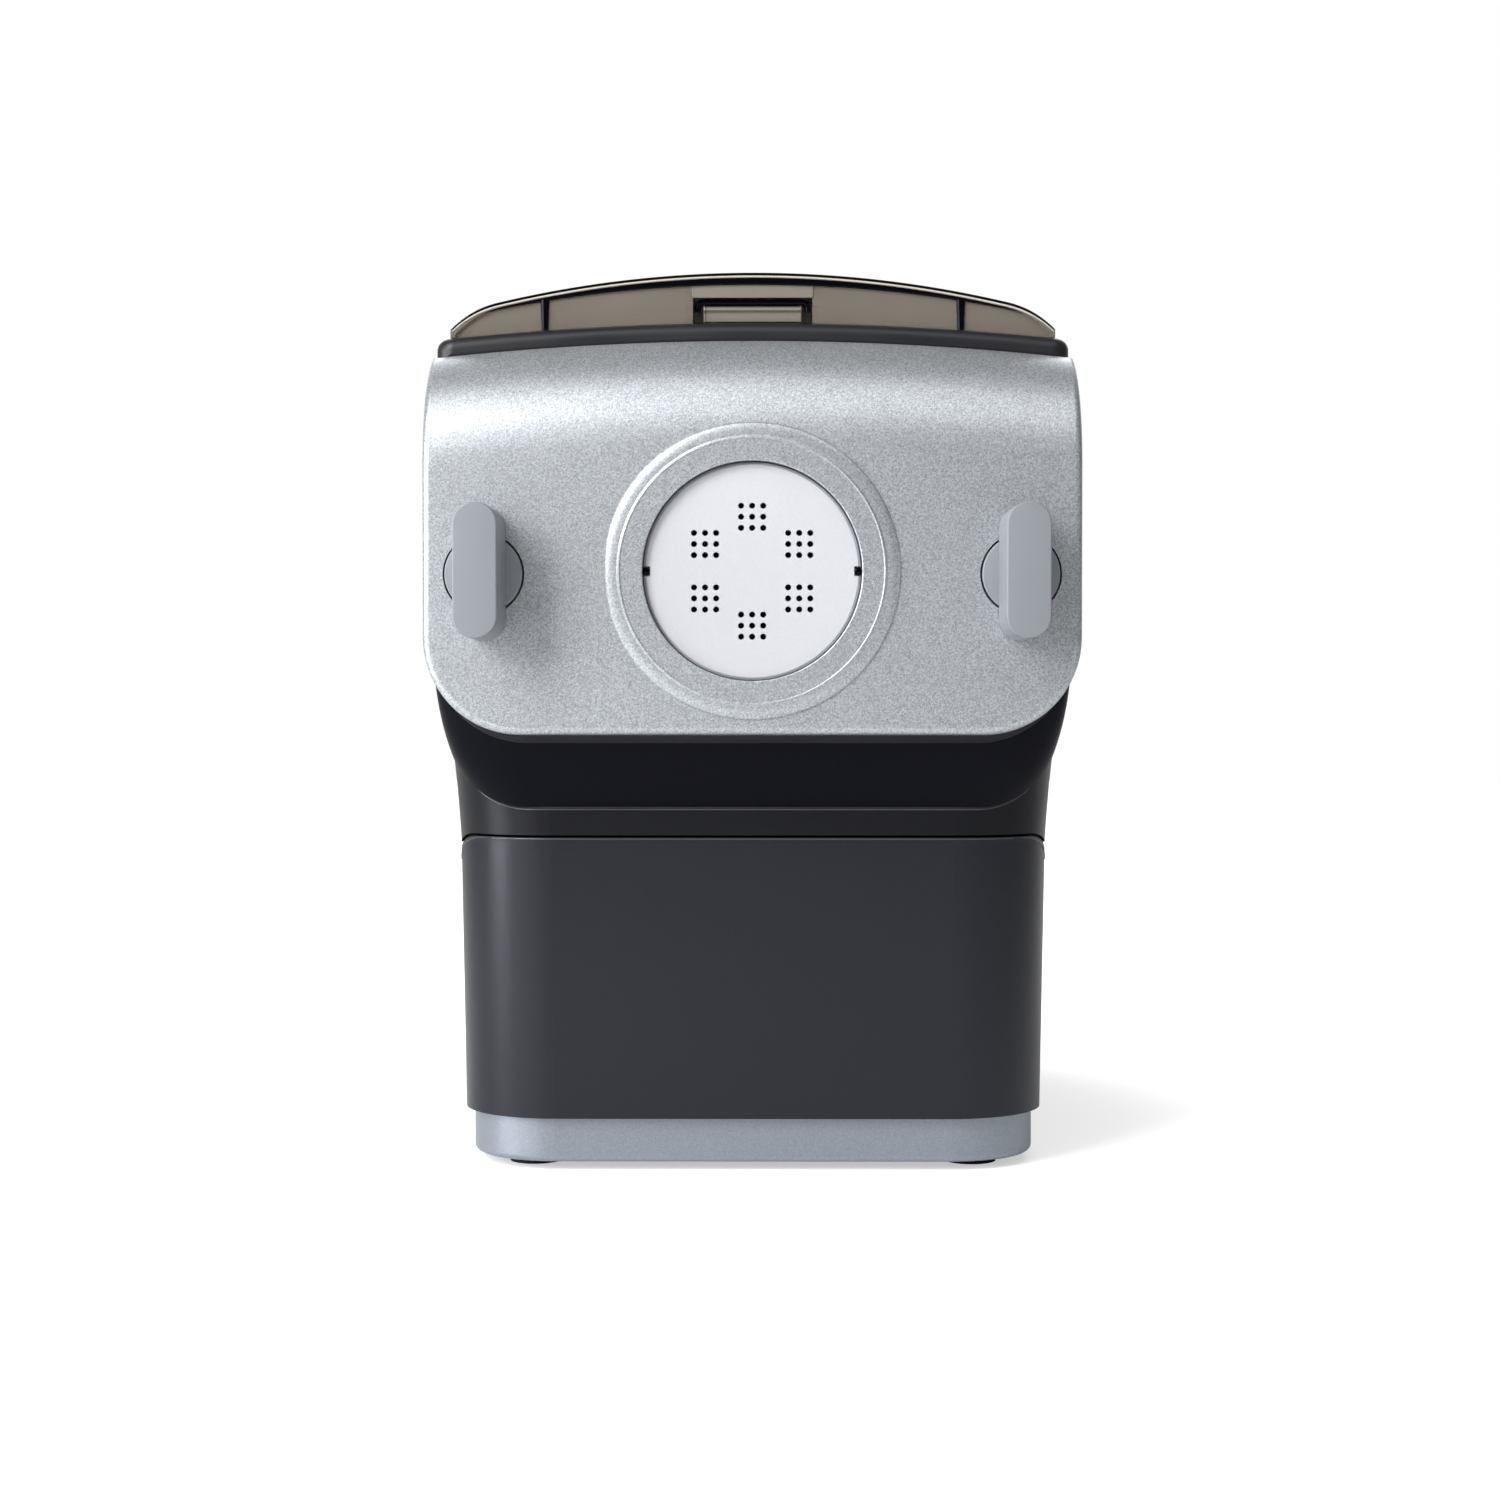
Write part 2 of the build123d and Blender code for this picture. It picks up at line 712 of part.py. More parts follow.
def button(x):
    """A round cap with a retaining flange under the cover and a stem over its switch."""
    y = button_row_y()
    under = rear_cover_top - wall - 0.4
    cap = post(x, y, under - button_flange, rear_cover_top + button_rise, button_radius)
    cap = chamfer(cap.edges().sort_by(Axis.Z)[-1], 0.5)
    cap += post(x, y, under - button_flange, under, button_radius + 1.2)
    cap += post(x, y, board_top() + switch_height + button_travel + 0.2, under, 2.0)
    return cap


def board_top():
    return rear_cover_top - board_drop


def control_board():
    """The board under the fascia on four pillars, with a display module and four small switches."""
    plate = block(-66, 66, fascia_y - 24, fascia_y + 24, board_top() - board_thickness, board_top())
    for x in button_places():
        plate += block(x - 3, x + 3, button_row_y() - 3, button_row_y() + 3, board_top() - 0.2,
                       board_top() + switch_height)
    plate += block(-window_width / 2, window_width / 2, display_y() - window_depth / 2,
                   display_y() + window_depth / 2, board_top() - 0.2, rear_cover_top - 2 * wall)
    for x in (-60, 60):
        for y in (fascia_y - 20, fascia_y + 20):
            plate += post(x, y, board_top(), rear_cover_top - wall, 2.5)
    return plate


def display_window():
    """The clear window block between the display module and the fascia."""
    return block(-window_width / 2, window_width / 2, display_y() - window_depth / 2,
                 display_y() + window_depth / 2, rear_cover_top - 2 * wall, rear_cover_top - fascia_thickness)


# ---- front panel ----
def front_panel():
    """The silver plate: an open-backed shell that bends back at its top."""
    face = bib(panel_width, panel_foot, total_height, panel_corner)
    outer = slab(panel_bend_radius, panel_bend_radius - panel_thickness, 0) & along_y(face, -total_depth, 0)
    rim = [e for e in outer.edges() if on_outer_skin(e)]
    outer = fillet(rim, panel_edge_round)
    hollow_face = bib(panel_width - 2 * wall, panel_foot + wall, total_height, panel_corner - wall)
    hollow = slab(panel_bend_radius - wall, panel_bend_radius - panel_thickness - 1, 0)
    hollow &= along_y(hollow_face, -total_depth, 0)
    turn_plane = panel_end_room(wall)
    panel = outer - (hollow - turn_plane)
    skin = panel_face_y + wall
    panel += tube_along_y(0, axis_z, panel_bore_radius + wall, panel_bore_radius, skin - 0.5, disc_rear_y)
    panel -= rod(0, axis_z, panel_face_y - 1, backing_face_y + 1, panel_bore_radius)
    for side in (-1, 1):
        hole = boss_radius + boss_gap
        panel += tube_along_y(side * knob_x, knob_z, hole + 2, hole, skin - 0.5, backing_face_y)
        panel -= rod(side * knob_x, knob_z, panel_face_y - 1, backing_face_y + 1, hole)
    return panel


def tube_along_y(x, z, outer, inner, y0, y1):
    return rod(x, z, y0, y1, outer) - rod(x, z, y0 - 1, y1 + 1, inner)


def on_outer_skin(edge):
    """True for the outline edges of the panel's outer skin."""
    middle = edge @ 0.5
    if edge.bounding_box().size.X > panel_width / 2 and middle.Z > panel_foot + 1:
        return middle.Z > panel_bend_z + 1 and skin_distance(middle) < 0.05
    return all(skin_distance(edge @ t) < 0.05 for t in (0.1, 0.5, 0.9))


def skin_distance(point):
    """How far a point lies from the panel's outer skin, measured where the arch brings it to the middle."""
    height = crown_centre_z + math.hypot(point.X, point.Z - crown_centre_z)
    if height <= panel_bend_z:
        return abs(point.Y - panel_face_y)
    reach = math.hypot(point.Y - bend_y, height - panel_bend_z)
    return abs(reach - panel_bend_radius)


def panel_end_room(thickness):
    """A wedge that keeps the hollow short of the panel's upper end by one wall."""
    end = math.radians(panel_bend_angle)
    start = end - thickness / panel_bend_radius
    far = 2 * panel_bend_radius
    points = [(bend_y, panel_bend_z)]
    for angle in (start, end + 0.5):
        points.append((bend_y - far * math.cos(angle), panel_bend_z + far * math.sin(angle)))
    return arch_sweep(make_face(Polyline(*points, close=True)))


def nozzle_ring():
    """The raised trim round the disc, pressed into the panel's bore."""
    bore = nozzle_bore_radius
    face_y = panel_face_y
    groove = nozzle_flat_radius - nozzle_groove
    crest = ((nozzle_flat_radius + nozzle_ring_radius) / 2, face_y - nozzle_ring_rise)
    inner_edge = (nozzle_flat_radius, face_y - nozzle_ring_rise + 2 * nozzle_flat_rise)
    rear = disc_front_y + disc_thickness - slide_gap
    outline = Curve() + [
        Polyline((bore, rear), (bore, face_y - nozzle_flat_rise), (groove, face_y - nozzle_flat_rise),
                 (groove, face_y - 0.2), (nozzle_flat_radius, face_y - 0.2), inner_edge),
        ThreePointArc(inner_edge, crest, (nozzle_ring_radius, face_y)),
        Polyline((nozzle_ring_radius, face_y), (panel_bore_radius, face_y), (panel_bore_radius, rear),
                 (bore, rear)),
    ]
    return Pos(0, 0, axis_z) * revolve(make_face(outline), Axis.Y)


def panel_backing():
    """The dark plate that closes the panel's back and shows as a thin strip below it."""
    face = bib(panel_width - 2 * backing_inset, panel_foot - backing_drop, total_height, panel_corner)
    outer = panel_bend_radius - panel_thickness
    plate = slab(outer, outer - backing_thickness, 0) & along_y(face, -total_depth, 0)
    plate -= rod(0, axis_z, backing_face_y - 1, collar_face_y + 1, tube_flange_radius + slide_gap)
    for side in (-1, 1):
        plate -= rod(side * knob_x, knob_z, backing_face_y - 1, collar_face_y + 1, boss_radius + boss_gap)
    plate -= block(-panel_width, panel_width, collar_face_y - 0.2, 0, 0, panel_bend_z)
    return plate


# ---- clamp knobs and studs ----
def knob(side):
    """A round boss with a tall tapered grip and a hexagonal seat for its nut."""
    x = side * knob_x
    grip_back = panel_face_y - boss_gap
    plane = Plane(origin=(x, grip_back, knob_z), x_dir=(0, 0, 1), z_dir=(0, -1, 0))
    grip = extrude(plane * SlotOverall(grip_height, grip_width), amount=knob_reach - boss_gap, taper=grip_taper)
    grip = fillet(grip.faces().sort_by(Axis.Y)[0].edges(), grip_edge_round)
    boss = rod(x, knob_z, grip_back - 1.2, collar_face_y - nut_inset, boss_radius)
    boss = fillet(boss.edges().sort_by(Axis.Y)[0], 0.8)
    shape = grip + boss
    shape -= nut_form(x, 0, 0)
    shape -= rod(x, knob_z, stud_tip_y - 2, collar_face_y, stud_radius + slide_gap)
    return shape


def nut_form(x, gap, bore):
    rear = collar_face_y - nut_inset
    plane = Plane(origin=(x, rear, knob_z), x_dir=(0, 0, 1), z_dir=(0, -1, 0))
    body = extrude(plane * RegularPolygon(nut_radius - gap, 6), amount=nut_length)
    if bore:
        body -= rod(x, knob_z, rear - nut_length - 1, rear + 1, bore)
    return body


def knob_nut(side):
    """The steel nut moulded into a knob, which runs on the stud."""
    return nut_form(side * knob_x, 0, stud_radius + slide_gap)


def clamp_studs():
    """Two studs riveted into the yoke, with their flat heads behind it."""
    studs = []
    back = yoke_y + yoke_thickness
    for side in (-1, 1):
        stud = rod(side * knob_x, knob_z, stud_tip_y, back + 1, stud_radius)
        stud = chamfer(stud.edges().sort_by(Axis.Y)[0], 0.8)
        stud += rod(side * knob_x, knob_z, back, back + stud_foot, stud_foot_radius)
        studs.append(stud)
    return Compound(children=studs)


def stud_yoke():
    """The steel yoke behind the collar's face that ties both studs together under the nozzle."""
    arm_width = 2 * (stud_foot_radius + yoke_margin)
    face = SlotOverall(2 * (knob_x + stud_foot_radius) - 4, arm_width) + Circle(nose_radius + 11)
    yoke = along_y(Pos(0, knob_z) * face, yoke_y, yoke_y + yoke_thickness)
    yoke &= block(-panel_width, panel_width, -total_depth, 0, 0, knob_z + arm_width / 2)
    yoke -= rod(0, axis_z, yoke_y - 1, yoke_y + yoke_thickness + 1, nose_radius + 2)
    for side in (-1, 1):
        yoke -= rod(side * knob_x, knob_z, yoke_y - 1, yoke_y + yoke_thickness + 1, stud_radius + press_fit)
    return yoke


# ---- extrusion ----
def die_holes(y0, y1, x=0.0, z=0.0):
    """Square clusters of small holes on one circle, the first at the top."""
    holes = []
    middle = (hole_grid - 1) / 2
    for cluster in range(cluster_count):
        angle = math.radians(90 + cluster * 360 / cluster_count)
        for row in range(hole_grid):
            for column in range(hole_grid):
                hx = cluster_radius * math.cos(angle) + (column - middle) * hole_pitch
                hz = cluster_radius * math.sin(angle) + (row - middle) * hole_pitch
                hole = Pos(x + hx, z + hz) * RegularPolygon(hole_radius, hole_sides)
                holes.append(along_y(hole, y0, y1))
    return holes


def shaping_disc():
    """The pierced die with a holding flange and two key notches in its front edge."""
    body_rear = disc_front_y + disc_thickness
    flange = disc_radius + disc_flange
    disc = spun([(0, disc_front_y), (disc_radius - disc_edge, disc_front_y),
                 (disc_radius, disc_front_y + disc_edge), (disc_radius, body_rear), (flange, body_rear),
                 (flange, disc_rear_y), (0, disc_rear_y)], 0, axis_z)
    disc -= Compound(children=die_holes(disc_front_y - 1, disc_rear_y + 1, 0, axis_z))
    for side in (-1, 1):
        edge = side * disc_radius
        half = disc_notch_width / 2
        disc -= block(edge - disc_notch_reach, edge + disc_notch_reach, disc_front_y - 1,
                      disc_front_y + disc_thickness / 2, axis_z - half, axis_z + half)
    return disc


def extrusion_tube():
    """The sleeve round the auger, with a wide plenum behind the disc and a flange on the collar."""
    outer = tube_inner_radius + tube_wall
    plenum_end = tube_front_y + plenum_depth
    throat = plenum_end + throat_length
    flange_rear = collar_face_y - slide_gap
    return spun([(plenum_radius, tube_front_y), (tube_flange_radius, tube_front_y),
                 (tube_flange_radius, flange_rear), (plenum_radius + tube_wall, flange_rear),
                 (plenum_radius + tube_wall, plenum_end), (outer, throat), (outer, tube_rear_y),
                 (tube_inner_radius, tube_rear_y), (tube_inner_radius, throat),
                 (plenum_radius, plenum_end)], 0, axis_z)


def auger():
    """A core with one screw flight that just clears its tube."""
    front = tube_front_y + auger_front_gap
    reach = tube_inner_radius - flight_gap
    core_front = tube_front_y + 2
    core = rod(0, axis_z, core_front, paddle_front_y, auger_core_radius)
    core = chamfer(core.edges().sort_by(Axis.Y)[0], 2.5)
    length = tube_rear_y - 4 - front - plenum_depth
    mean = (auger_core_radius + reach) / 2
    path = Helix(auger_pitch, length, mean)
    blade = Plane(origin=path @ 0, z_dir=path % 0, x_dir=(1, 0, 0))
    flight = sweep(blade * Rectangle(reach - auger_core_radius + 1.0, flight_thickness), path, is_frenet=True)
    flight = Pos(0, front + plenum_depth, axis_z) * Rot(-90, 0, 0) * flight
    sleeve = rod(0, axis_z, front, tube_rear_y, reach)
    return core + (flight & sleeve)


def mixing_paddle():
    """A hub on the shaft with an open loop to one side and a short finger to the other."""
    hub = rod(0, axis_z, paddle_front_y, paddle_rear_y, paddle_hub_radius)
    hub = chamfer(hub.edges().filter_by(GeomType.CIRCLE), 1.0)
    half = paddle_bar / 2
    span = paddle_rear_y - paddle_front_y - 8
    loop = RectangleRounded(span, 2 * paddle_reach, paddle_corner)
    loop -= RectangleRounded(span - 2 * paddle_bar, 2 * (paddle_reach - paddle_bar), paddle_corner - half)
    middle = (paddle_front_y + paddle_rear_y) / 2
    frame = Pos(0, middle, axis_z) * along_x(loop, -half, half)
    frame -= block(-half - 1, half + 1, paddle_front_y + 30, paddle_rear_y, axis_z - chamber_radius, axis_z - 2)
    paddle = hub + frame
    paddle -= rod(0, axis_z, paddle_front_y + paddle_socket, paddle_rear_y + 1, shaft_radius)
    return paddle


def chamber_hollow(radius, y0, y1):
    """A trough: half round below the shaft axis and straight up to above the deck."""
    lower = rod(0, axis_z, y0, y1, radius)
    upper = block(-radius, radius, y0, y1, axis_z, total_height)
    return lower + upper


def chamber_top():
    """The lip's height, just under the crowned deck beside it."""
    return arched(chamber_radius + chamber_lip, deck_top) - chamber_lip_drop


def mixing_chamber():
    """The see-through trough with a lip on the deck, a front bore for the tube and a rear shaft bore."""
    top = chamber_top()
    outer = chamber_hollow(chamber_radius, chamber_front_y, chamber_rear_y)
    reach = chamber_radius + chamber_lip
    lip = block(-reach, reach, chamber_front_y - chamber_lip + 1 + slide_gap,
                chamber_rear_y + chamber_lip / 2 + 1 - slide_gap, top - chamber_lip_thickness, top)
    inner = chamber_hollow(chamber_radius - thin_wall, chamber_front_y + thin_wall, chamber_rear_y - thin_wall)
    trough = outer + lip - inner
    trough &= block(-panel_width, panel_width, -total_depth, rear_y, 0, top)
    trough -= rod(0, axis_z, chamber_front_y - 5, chamber_front_y + 5,
                  tube_inner_radius + tube_wall + running_fit)
    trough -= rod(0, axis_z, chamber_rear_y - 5, chamber_rear_y + 5, shaft_radius + 2 * seal_width)
    return trough


def shaft_seal():
    """The rubber ring between the chamber's rear wall and the output shaft."""
    wall_front = chamber_rear_y - thin_wall
    front = wall_front - seal_width / 2
    rear = chamber_rear_y + 1.6
    inner = shaft_radius + running_fit
    waist = shaft_radius + 2 * seal_width
    rim = waist + seal_width
    return spun([(inner, front), (rim, front), (rim, wall_front), (waist, wall_front), (waist, chamber_rear_y),
                 (rim, chamber_rear_y), (rim, rear), (inner, rear)], 0, axis_z)


# ---- drive train ----
def involute(angle):
    return math.tan(angle) - angle


def tip_radius(module, teeth):
    return module * (teeth / 2 + tooth_tip)


def gear_face(module, teeth):
    """A stub-tooth spur gear outline, with each flank through three points of its involute."""
    pitch = module * teeth / 2
    base = pitch * math.cos(math.radians(pressure_angle))
    tip = tip_radius(module, teeth)
    root = pitch - tooth_root * module
    half = (math.pi * module / 2 - backlash / 2) / (2 * pitch) + involute(math.radians(pressure_angle))
    flank = []
    for radius in (max(root, base), pitch, tip):
        flank.append((radius, half - involute(math.acos(base / radius))))
    if root < base:
        flank.insert(0, (root, flank[0][1]))
    points = []
    for tooth in range(teeth):
        middle = 2 * math.pi * tooth / teeth
        for radius, offset in flank:
            points.append((radius * math.cos(middle - offset), radius * math.sin(middle - offset)))
        for radius, offset in reversed(flank):
            points.append((radius * math.cos(middle + offset), radius * math.sin(middle + offset)))
    return make_face(Polyline(*points, close=True))


def gear(module, teeth, z, y0, face_width, turn):
    """A gear on the axis along Y at height z, its first tooth turned from the top."""
    return Pos(0, 0, z) * along_y(Rot(0, 0, 90 + turn) * gear_face(module, teeth), y0, y0 + face_width)


def output_gear():
    """The slow wheel, with lightening holes between its hub and rim."""
    half_tooth = 180 / wheel_teeth
    wheel = gear(slow_module, wheel_teeth, axis_z, slow_plane_y, slow_face, half_tooth)
    wheel += rod(0, axis_z, slow_plane_y - 2, slow_plane_y + slow_face + 2, 11)
    for spoke in range(6):
        angle = math.radians(spoke * 60)
        wheel -= rod(22 * math.cos(angle), axis_z + 22 * math.sin(angle), slow_plane_y - 1,
                     slow_plane_y + slow_face + 1, 6)
    return wheel - rod(0, axis_z, slow_plane_y - 5, slow_plane_y + slow_face + 5, shaft_radius)


def output_shaft():
    """The shaft from the gearbox through the chamber wall into the paddle."""
    shaft = rod(0, axis_z, paddle_front_y + paddle_socket + seam, cover_rear_y, shaft_radius)
    return chamfer(shaft.edges().filter_by(GeomType.CIRCLE), 0.8)


def layshaft():
    """The middle shaft with its pinion cut in one piece."""
    shaft = rod(0, layshaft_z, case_front_y + 0.5, cover_rear_y, layshaft_radius)
    return shaft + gear(slow_module, pinion_teeth, layshaft_z, slow_plane_y - 1, slow_face + 3, 0)


def layshaft_gear():
    """The fast wheel on the middle shaft."""
    half_tooth = 180 / wheel_teeth
    wheel = gear(fast_module, wheel_teeth, layshaft_z, fast_plane_y, fast_face, half_tooth)
    return wheel - rod(0, layshaft_z, fast_plane_y - 1, fast_plane_y + fast_face + 1, layshaft_radius)


def rotor_shaft():
    """The motor shaft with its pinion cut in one piece."""
    shaft = rod(0, motor_z, fast_plane_y - 4, fan_y + 5.5, rotor_shaft_radius)
    return shaft + gear(fast_module, pinion_teeth, motor_z, fast_plane_y - 1, fast_face + 2, 0)


def case_circles():
    """Centre height and outer radius of the case round each shaft."""
    around = gear_room + case_wall
    return ((axis_z, tip_radius(slow_module, wheel_teeth) + around),
            (layshaft_z, tip_radius(fast_module, wheel_teeth) + around),
            (motor_z, case_foot_radius))


def case_face(inset):
    """The gearbox outline: three circles round the shafts joined by their common tangents."""
    circles = case_circles()
    shapes = []
    for (za, ra), (zb, rb) in zip(circles, circles[1:]):
        lean = math.asin((ra - rb) / (za - zb))
        ends = ((za, ra - inset), (zb, rb - inset))
        side = [(r * math.cos(lean), z - r * math.sin(lean)) for z, r in ends]
        points = side + [(-x, z) for x, z in reversed(side)]
        shapes.append(make_face(Polyline(*points, close=True)))
        shapes += [Pos(0, z) * Circle(r) for z, r in ends]
    face = shapes[0]
    for shape in shapes[1:]:
        face += shape
    return face


def gearbox_case():
    """The cast case, open at the rear, with bosses for the front bushes and feet on the bulkhead."""
    case = along_y(case_face(0), case_front_y, case_rear_y)
    case -= along_y(case_face(case_wall), case_front_y + case_wall, case_rear_y + 1)
    case -= rod(0, axis_z, case_front_y - 1, case_front_y + case_wall + 1, shaft_radius + bore_gap)
    case -= rod(0, layshaft_z, case_front_y - 1, case_front_y + case_wall + 1, layshaft_radius + bore_gap)
    front = bulkhead_y + bulkhead_thickness
    for x, z in gearbox_screw_places():
        case += rod(x, z, front, case_rear_y, screw_boss_radius)
        case -= rod(x, z, front - 1, case_rear_y + 1, screw_radius)
    return case


def gearbox_screw_places():
    """Two screws on each of the upper circles of the case, just outside its wall."""
    places = []
    for (z, radius), rise in zip(case_circles(), (24.0, 5.0)):
        x = math.sqrt(radius ** 2 - rise ** 2) + screw_boss_out
        places += [(-x, z + rise), (x, z + rise)]
    return places


def gearbox_cover():
    """The rear plate of the gearbox, which also carries the motor."""
    face = case_face(0)
    for x, z in gearbox_screw_places():
        face += Pos(x, z) * Circle(screw_boss_radius)
    face += Pos(0, motor_z) * RectangleRounded(motor_square, motor_square * 0.62, motor_corner)
    plate = along_y(face, case_rear_y, cover_rear_y)
    plate -= rod(0, axis_z, case_rear_y - 1, cover_rear_y + 1, shaft_radius + bore_gap)
    plate -= rod(0, layshaft_z, case_rear_y - 1, cover_rear_y + 1, layshaft_radius + bore_gap)
    plate -= rod(0, motor_z, case_rear_y - 1, cover_rear_y + 1, rotor_shaft_radius + 2 * bore_gap)
    for x, z in gearbox_screw_places():
        plate -= rod(x, z, case_rear_y - 1, cover_rear_y + 1, screw_radius)
    return plate


def gearbox_screws():
    """Long screws through cover and case into the bulkhead."""
    screws = []
    for x, z in gearbox_screw_places():
        screw = rod(x, z, bulkhead_y, cover_rear_y, screw_shaft_radius)
        screw += rod(x, z, cover_rear_y, cover_rear_y + screw_head, screw_head_radius)
        screws.append(screw)
    return Compound(children=screws)


def gearbox_bushes():
    """Plain bearings of the output shaft and the layshaft, in the case and in the cover."""
    bushes = []
    for z, radius in ((axis_z, shaft_radius), (layshaft_z, layshaft_radius)):
        for y0, y1 in ((case_front_y, case_front_y + case_wall), (case_rear_y, cover_rear_y)):
            bushes.append(tube_along_y(0, z, radius + bore_gap, radius + running_fit, y0, y1))
    return Compound(children=bushes)


def stator():
    """The motor's square laminated core with its round bore."""
    core = Pos(0, motor_z) * RectangleRounded(motor_square, motor_square, motor_corner)
    block_core = along_y(core, stator_y, stator_y + stator_length)
    block_core -= rod(0, motor_z, stator_y - 1, stator_y + stator_length + 1, rotor_radius + air_gap)
    for x in (-1, 1):
        for z in (-1, 1):
            corner = motor_square / 2 - 6
            block_core -= rod(x * corner, motor_z + z * corner, stator_y - 1, stator_y + stator_length + 1,
                              screw_radius)
    return block_core


def windings():
    """The two copper end turns of the stator."""
    coils = []
    for y0 in (stator_y - coil_length, stator_y + stator_length):
        coils.append(tube_along_y(0, motor_z, coil_radius, rotor_radius + bore_gap, y0, y0 + coil_length))
    return Compound(children=coils)


def end_bell(front):
    """An aluminium cup over one end of the stator, with a bearing seat and side windows."""
    y0, y1 = (cover_rear_y, stator_y) if front else (stator_y + stator_length, motor_rear_y)
    face = Pos(0, motor_z) * RectangleRounded(motor_square, motor_square, motor_corner)
    bell = along_y(face, y0, y1)
    inner = motor_square - 2 * screw_radius
    room = Pos(0, motor_z) * RectangleRounded(inner, inner, motor_corner - screw_radius)
    open_y = (y0 + bell_wall, y1 + 1) if front else (y0 - 1, y1 - bell_wall)
    bell -= along_y(room, *open_y)
    bell -= rod(0, motor_z, y0 - 1, y1 + 1, rotor_shaft_radius + bore_gap)
    for side in (-1, 1):
        window = Pos(side * motor_square / 2, (y0 + y1) / 2, motor_z) * Box(8, 5, 36)
        bell -= window
    return bell


def motor_bushes():
    """The rotor's two plain bearings."""
    seats = ((cover_rear_y, cover_rear_y + bell_wall), (motor_rear_y - bell_wall, motor_rear_y))
    bushes = [tube_along_y(0, motor_z, rotor_shaft_radius + bore_gap, rotor_shaft_radius + running_fit, y0, y1)
              for y0, y1 in seats]
    return Compound(children=bushes)


def rotor_core():
    """The rotor's laminated drum on its shaft."""
    rear = stator_y + stator_length + 1
    return tube_along_y(0, motor_z, rotor_radius, rotor_shaft_radius, stator_y - 1, rear)


def cooling_fan():
    """A radial fan on the rotor shaft behind the motor."""
    end_y = fan_y + fan_depth
    fan = rod(0, motor_z, fan_y, fan_y + fan_disc, fan_radius)
    fan += rod(0, motor_z, fan_y, end_y, rotor_shaft_radius + bore_gap)
    for blade in range(fan_blades):
        vane = block(12, fan_radius - 1, fan_y + fan_disc - 0.2, end_y, -0.7, 0.7)
        fan += Pos(0, 0, motor_z) * Rot(0, blade * 360 / fan_blades, 0) * vane
    return fan - rod(0, motor_z, fan_y - 1, end_y + 1, rotor_shaft_radius)


def bulkhead():
    """The steel wall that carries the gearbox and stands in the body behind the chamber."""
    half = body_foot_width / 2 - wall - 1
    plate = block(-half, half, bulkhead_y, bulkhead_y + bulkhead_thickness, base_top + wall, deck_bottom - 1)
    plate -= rod(0, axis_z, bulkhead_y - 1, bulkhead_y + bulkhead_thickness + 1, shaft_radius + 1.5)
    for x, z in gearbox_screw_places():
        plate -= rod(x, z, bulkhead_y - 1, bulkhead_y + bulkhead_thickness + 1, screw_radius)
    flange = block(-half, half, bulkhead_y, bulkhead_y + bulkhead_flange, base_top + wall, base_top + wall + 2)
    return plate + flange


# ---- drawer ----
def drawer_front():
    """The front of the drawer: the body's own skin, wrapped round both corners."""
    skin = body_form(0) - body_form(wall)
    front = skin & drawer_zone(-seam)
    plate = Pos(0, (base_top + drawer_top) / 2) * Rectangle(tray_width + 8, drawer_top - base_top - 6)
    back = along_y(plate, body_front_y + wall - 0.5, tray_front_y)
    return front + (back & body_form(wall - 0.5))


def drawer_tray():
    """The open tray behind the drawer front."""
    middle = tray_front_y + tray_depth / 2
    top = tray_floor_z + tray_height
    outer = Pos(0, middle) * RectangleRounded(tray_width, tray_depth, tray_corner)
    inner = Pos(0, middle) * RectangleRounded(tray_width - 2 * thin_wall, tray_depth - 2 * thin_wall,
                                              tray_corner - thin_wall)
    return along_z(outer, tray_floor_z, top) - along_z(inner, tray_floor_z + thin_wall, top + 1)


def spare_disc_places():
    first = body_front_y + spare_disc_setback
    return [first + i * spare_disc_pitch for i in range(spare_disc_count)]


def disc_rack():
    """A rail with cradles that hold the spare discs upright in the tray."""
    floor = tray_floor_z + thin_wall
    first, last = spare_disc_places()[0], spare_disc_places()[-1]
    half = disc_radius - 1.4
    rack = block(-half, half, first - 8, last + 10 + disc_thickness, floor, floor + rack_height)
    for y in spare_disc_places():
        rack -= rod(0, spare_disc_z(), y - 0.2, y + disc_thickness + 0.2, disc_radius + 0.2)
    return rack


def spare_disc_z():
    return tray_floor_z + thin_wall + rack_seat + disc_radius


def spare_discs():
    """Spare dies for other shapes: long slots, a wide slot and large rings."""
    discs = []
    for index, y in enumerate(spare_disc_places()):
        disc = rod(0, spare_disc_z(), y, y + disc_thickness, disc_radius)
        for cut in range(6 - 2 * index):
            angle = cut * 360 / (6 - 2 * index)
            slot = Pos(0, cluster_radius) * SlotOverall(12 + 6 * index, 2 + index)
            face = Pos(0, spare_disc_z()) * Rot(0, 0, angle) * slot
            disc -= along_y(face, y - 1, y + disc_thickness + 1)
        discs.append(disc)
    return Compound(children=discs)


def drawer_runners():
    """Two rails on the base floor that carry the tray."""
    rails = []
    y0 = body_front_y + runner_setback
    for side in (-1, 1):
        rail = block(side * runner_x - runner_width / 2, side * runner_x + runner_width / 2, y0,
                     y0 + tray_depth - runner_short, foot_height + base_floor, tray_floor_z - slide_gap)
        rails.append(rail)
    return Compound(children=rails)


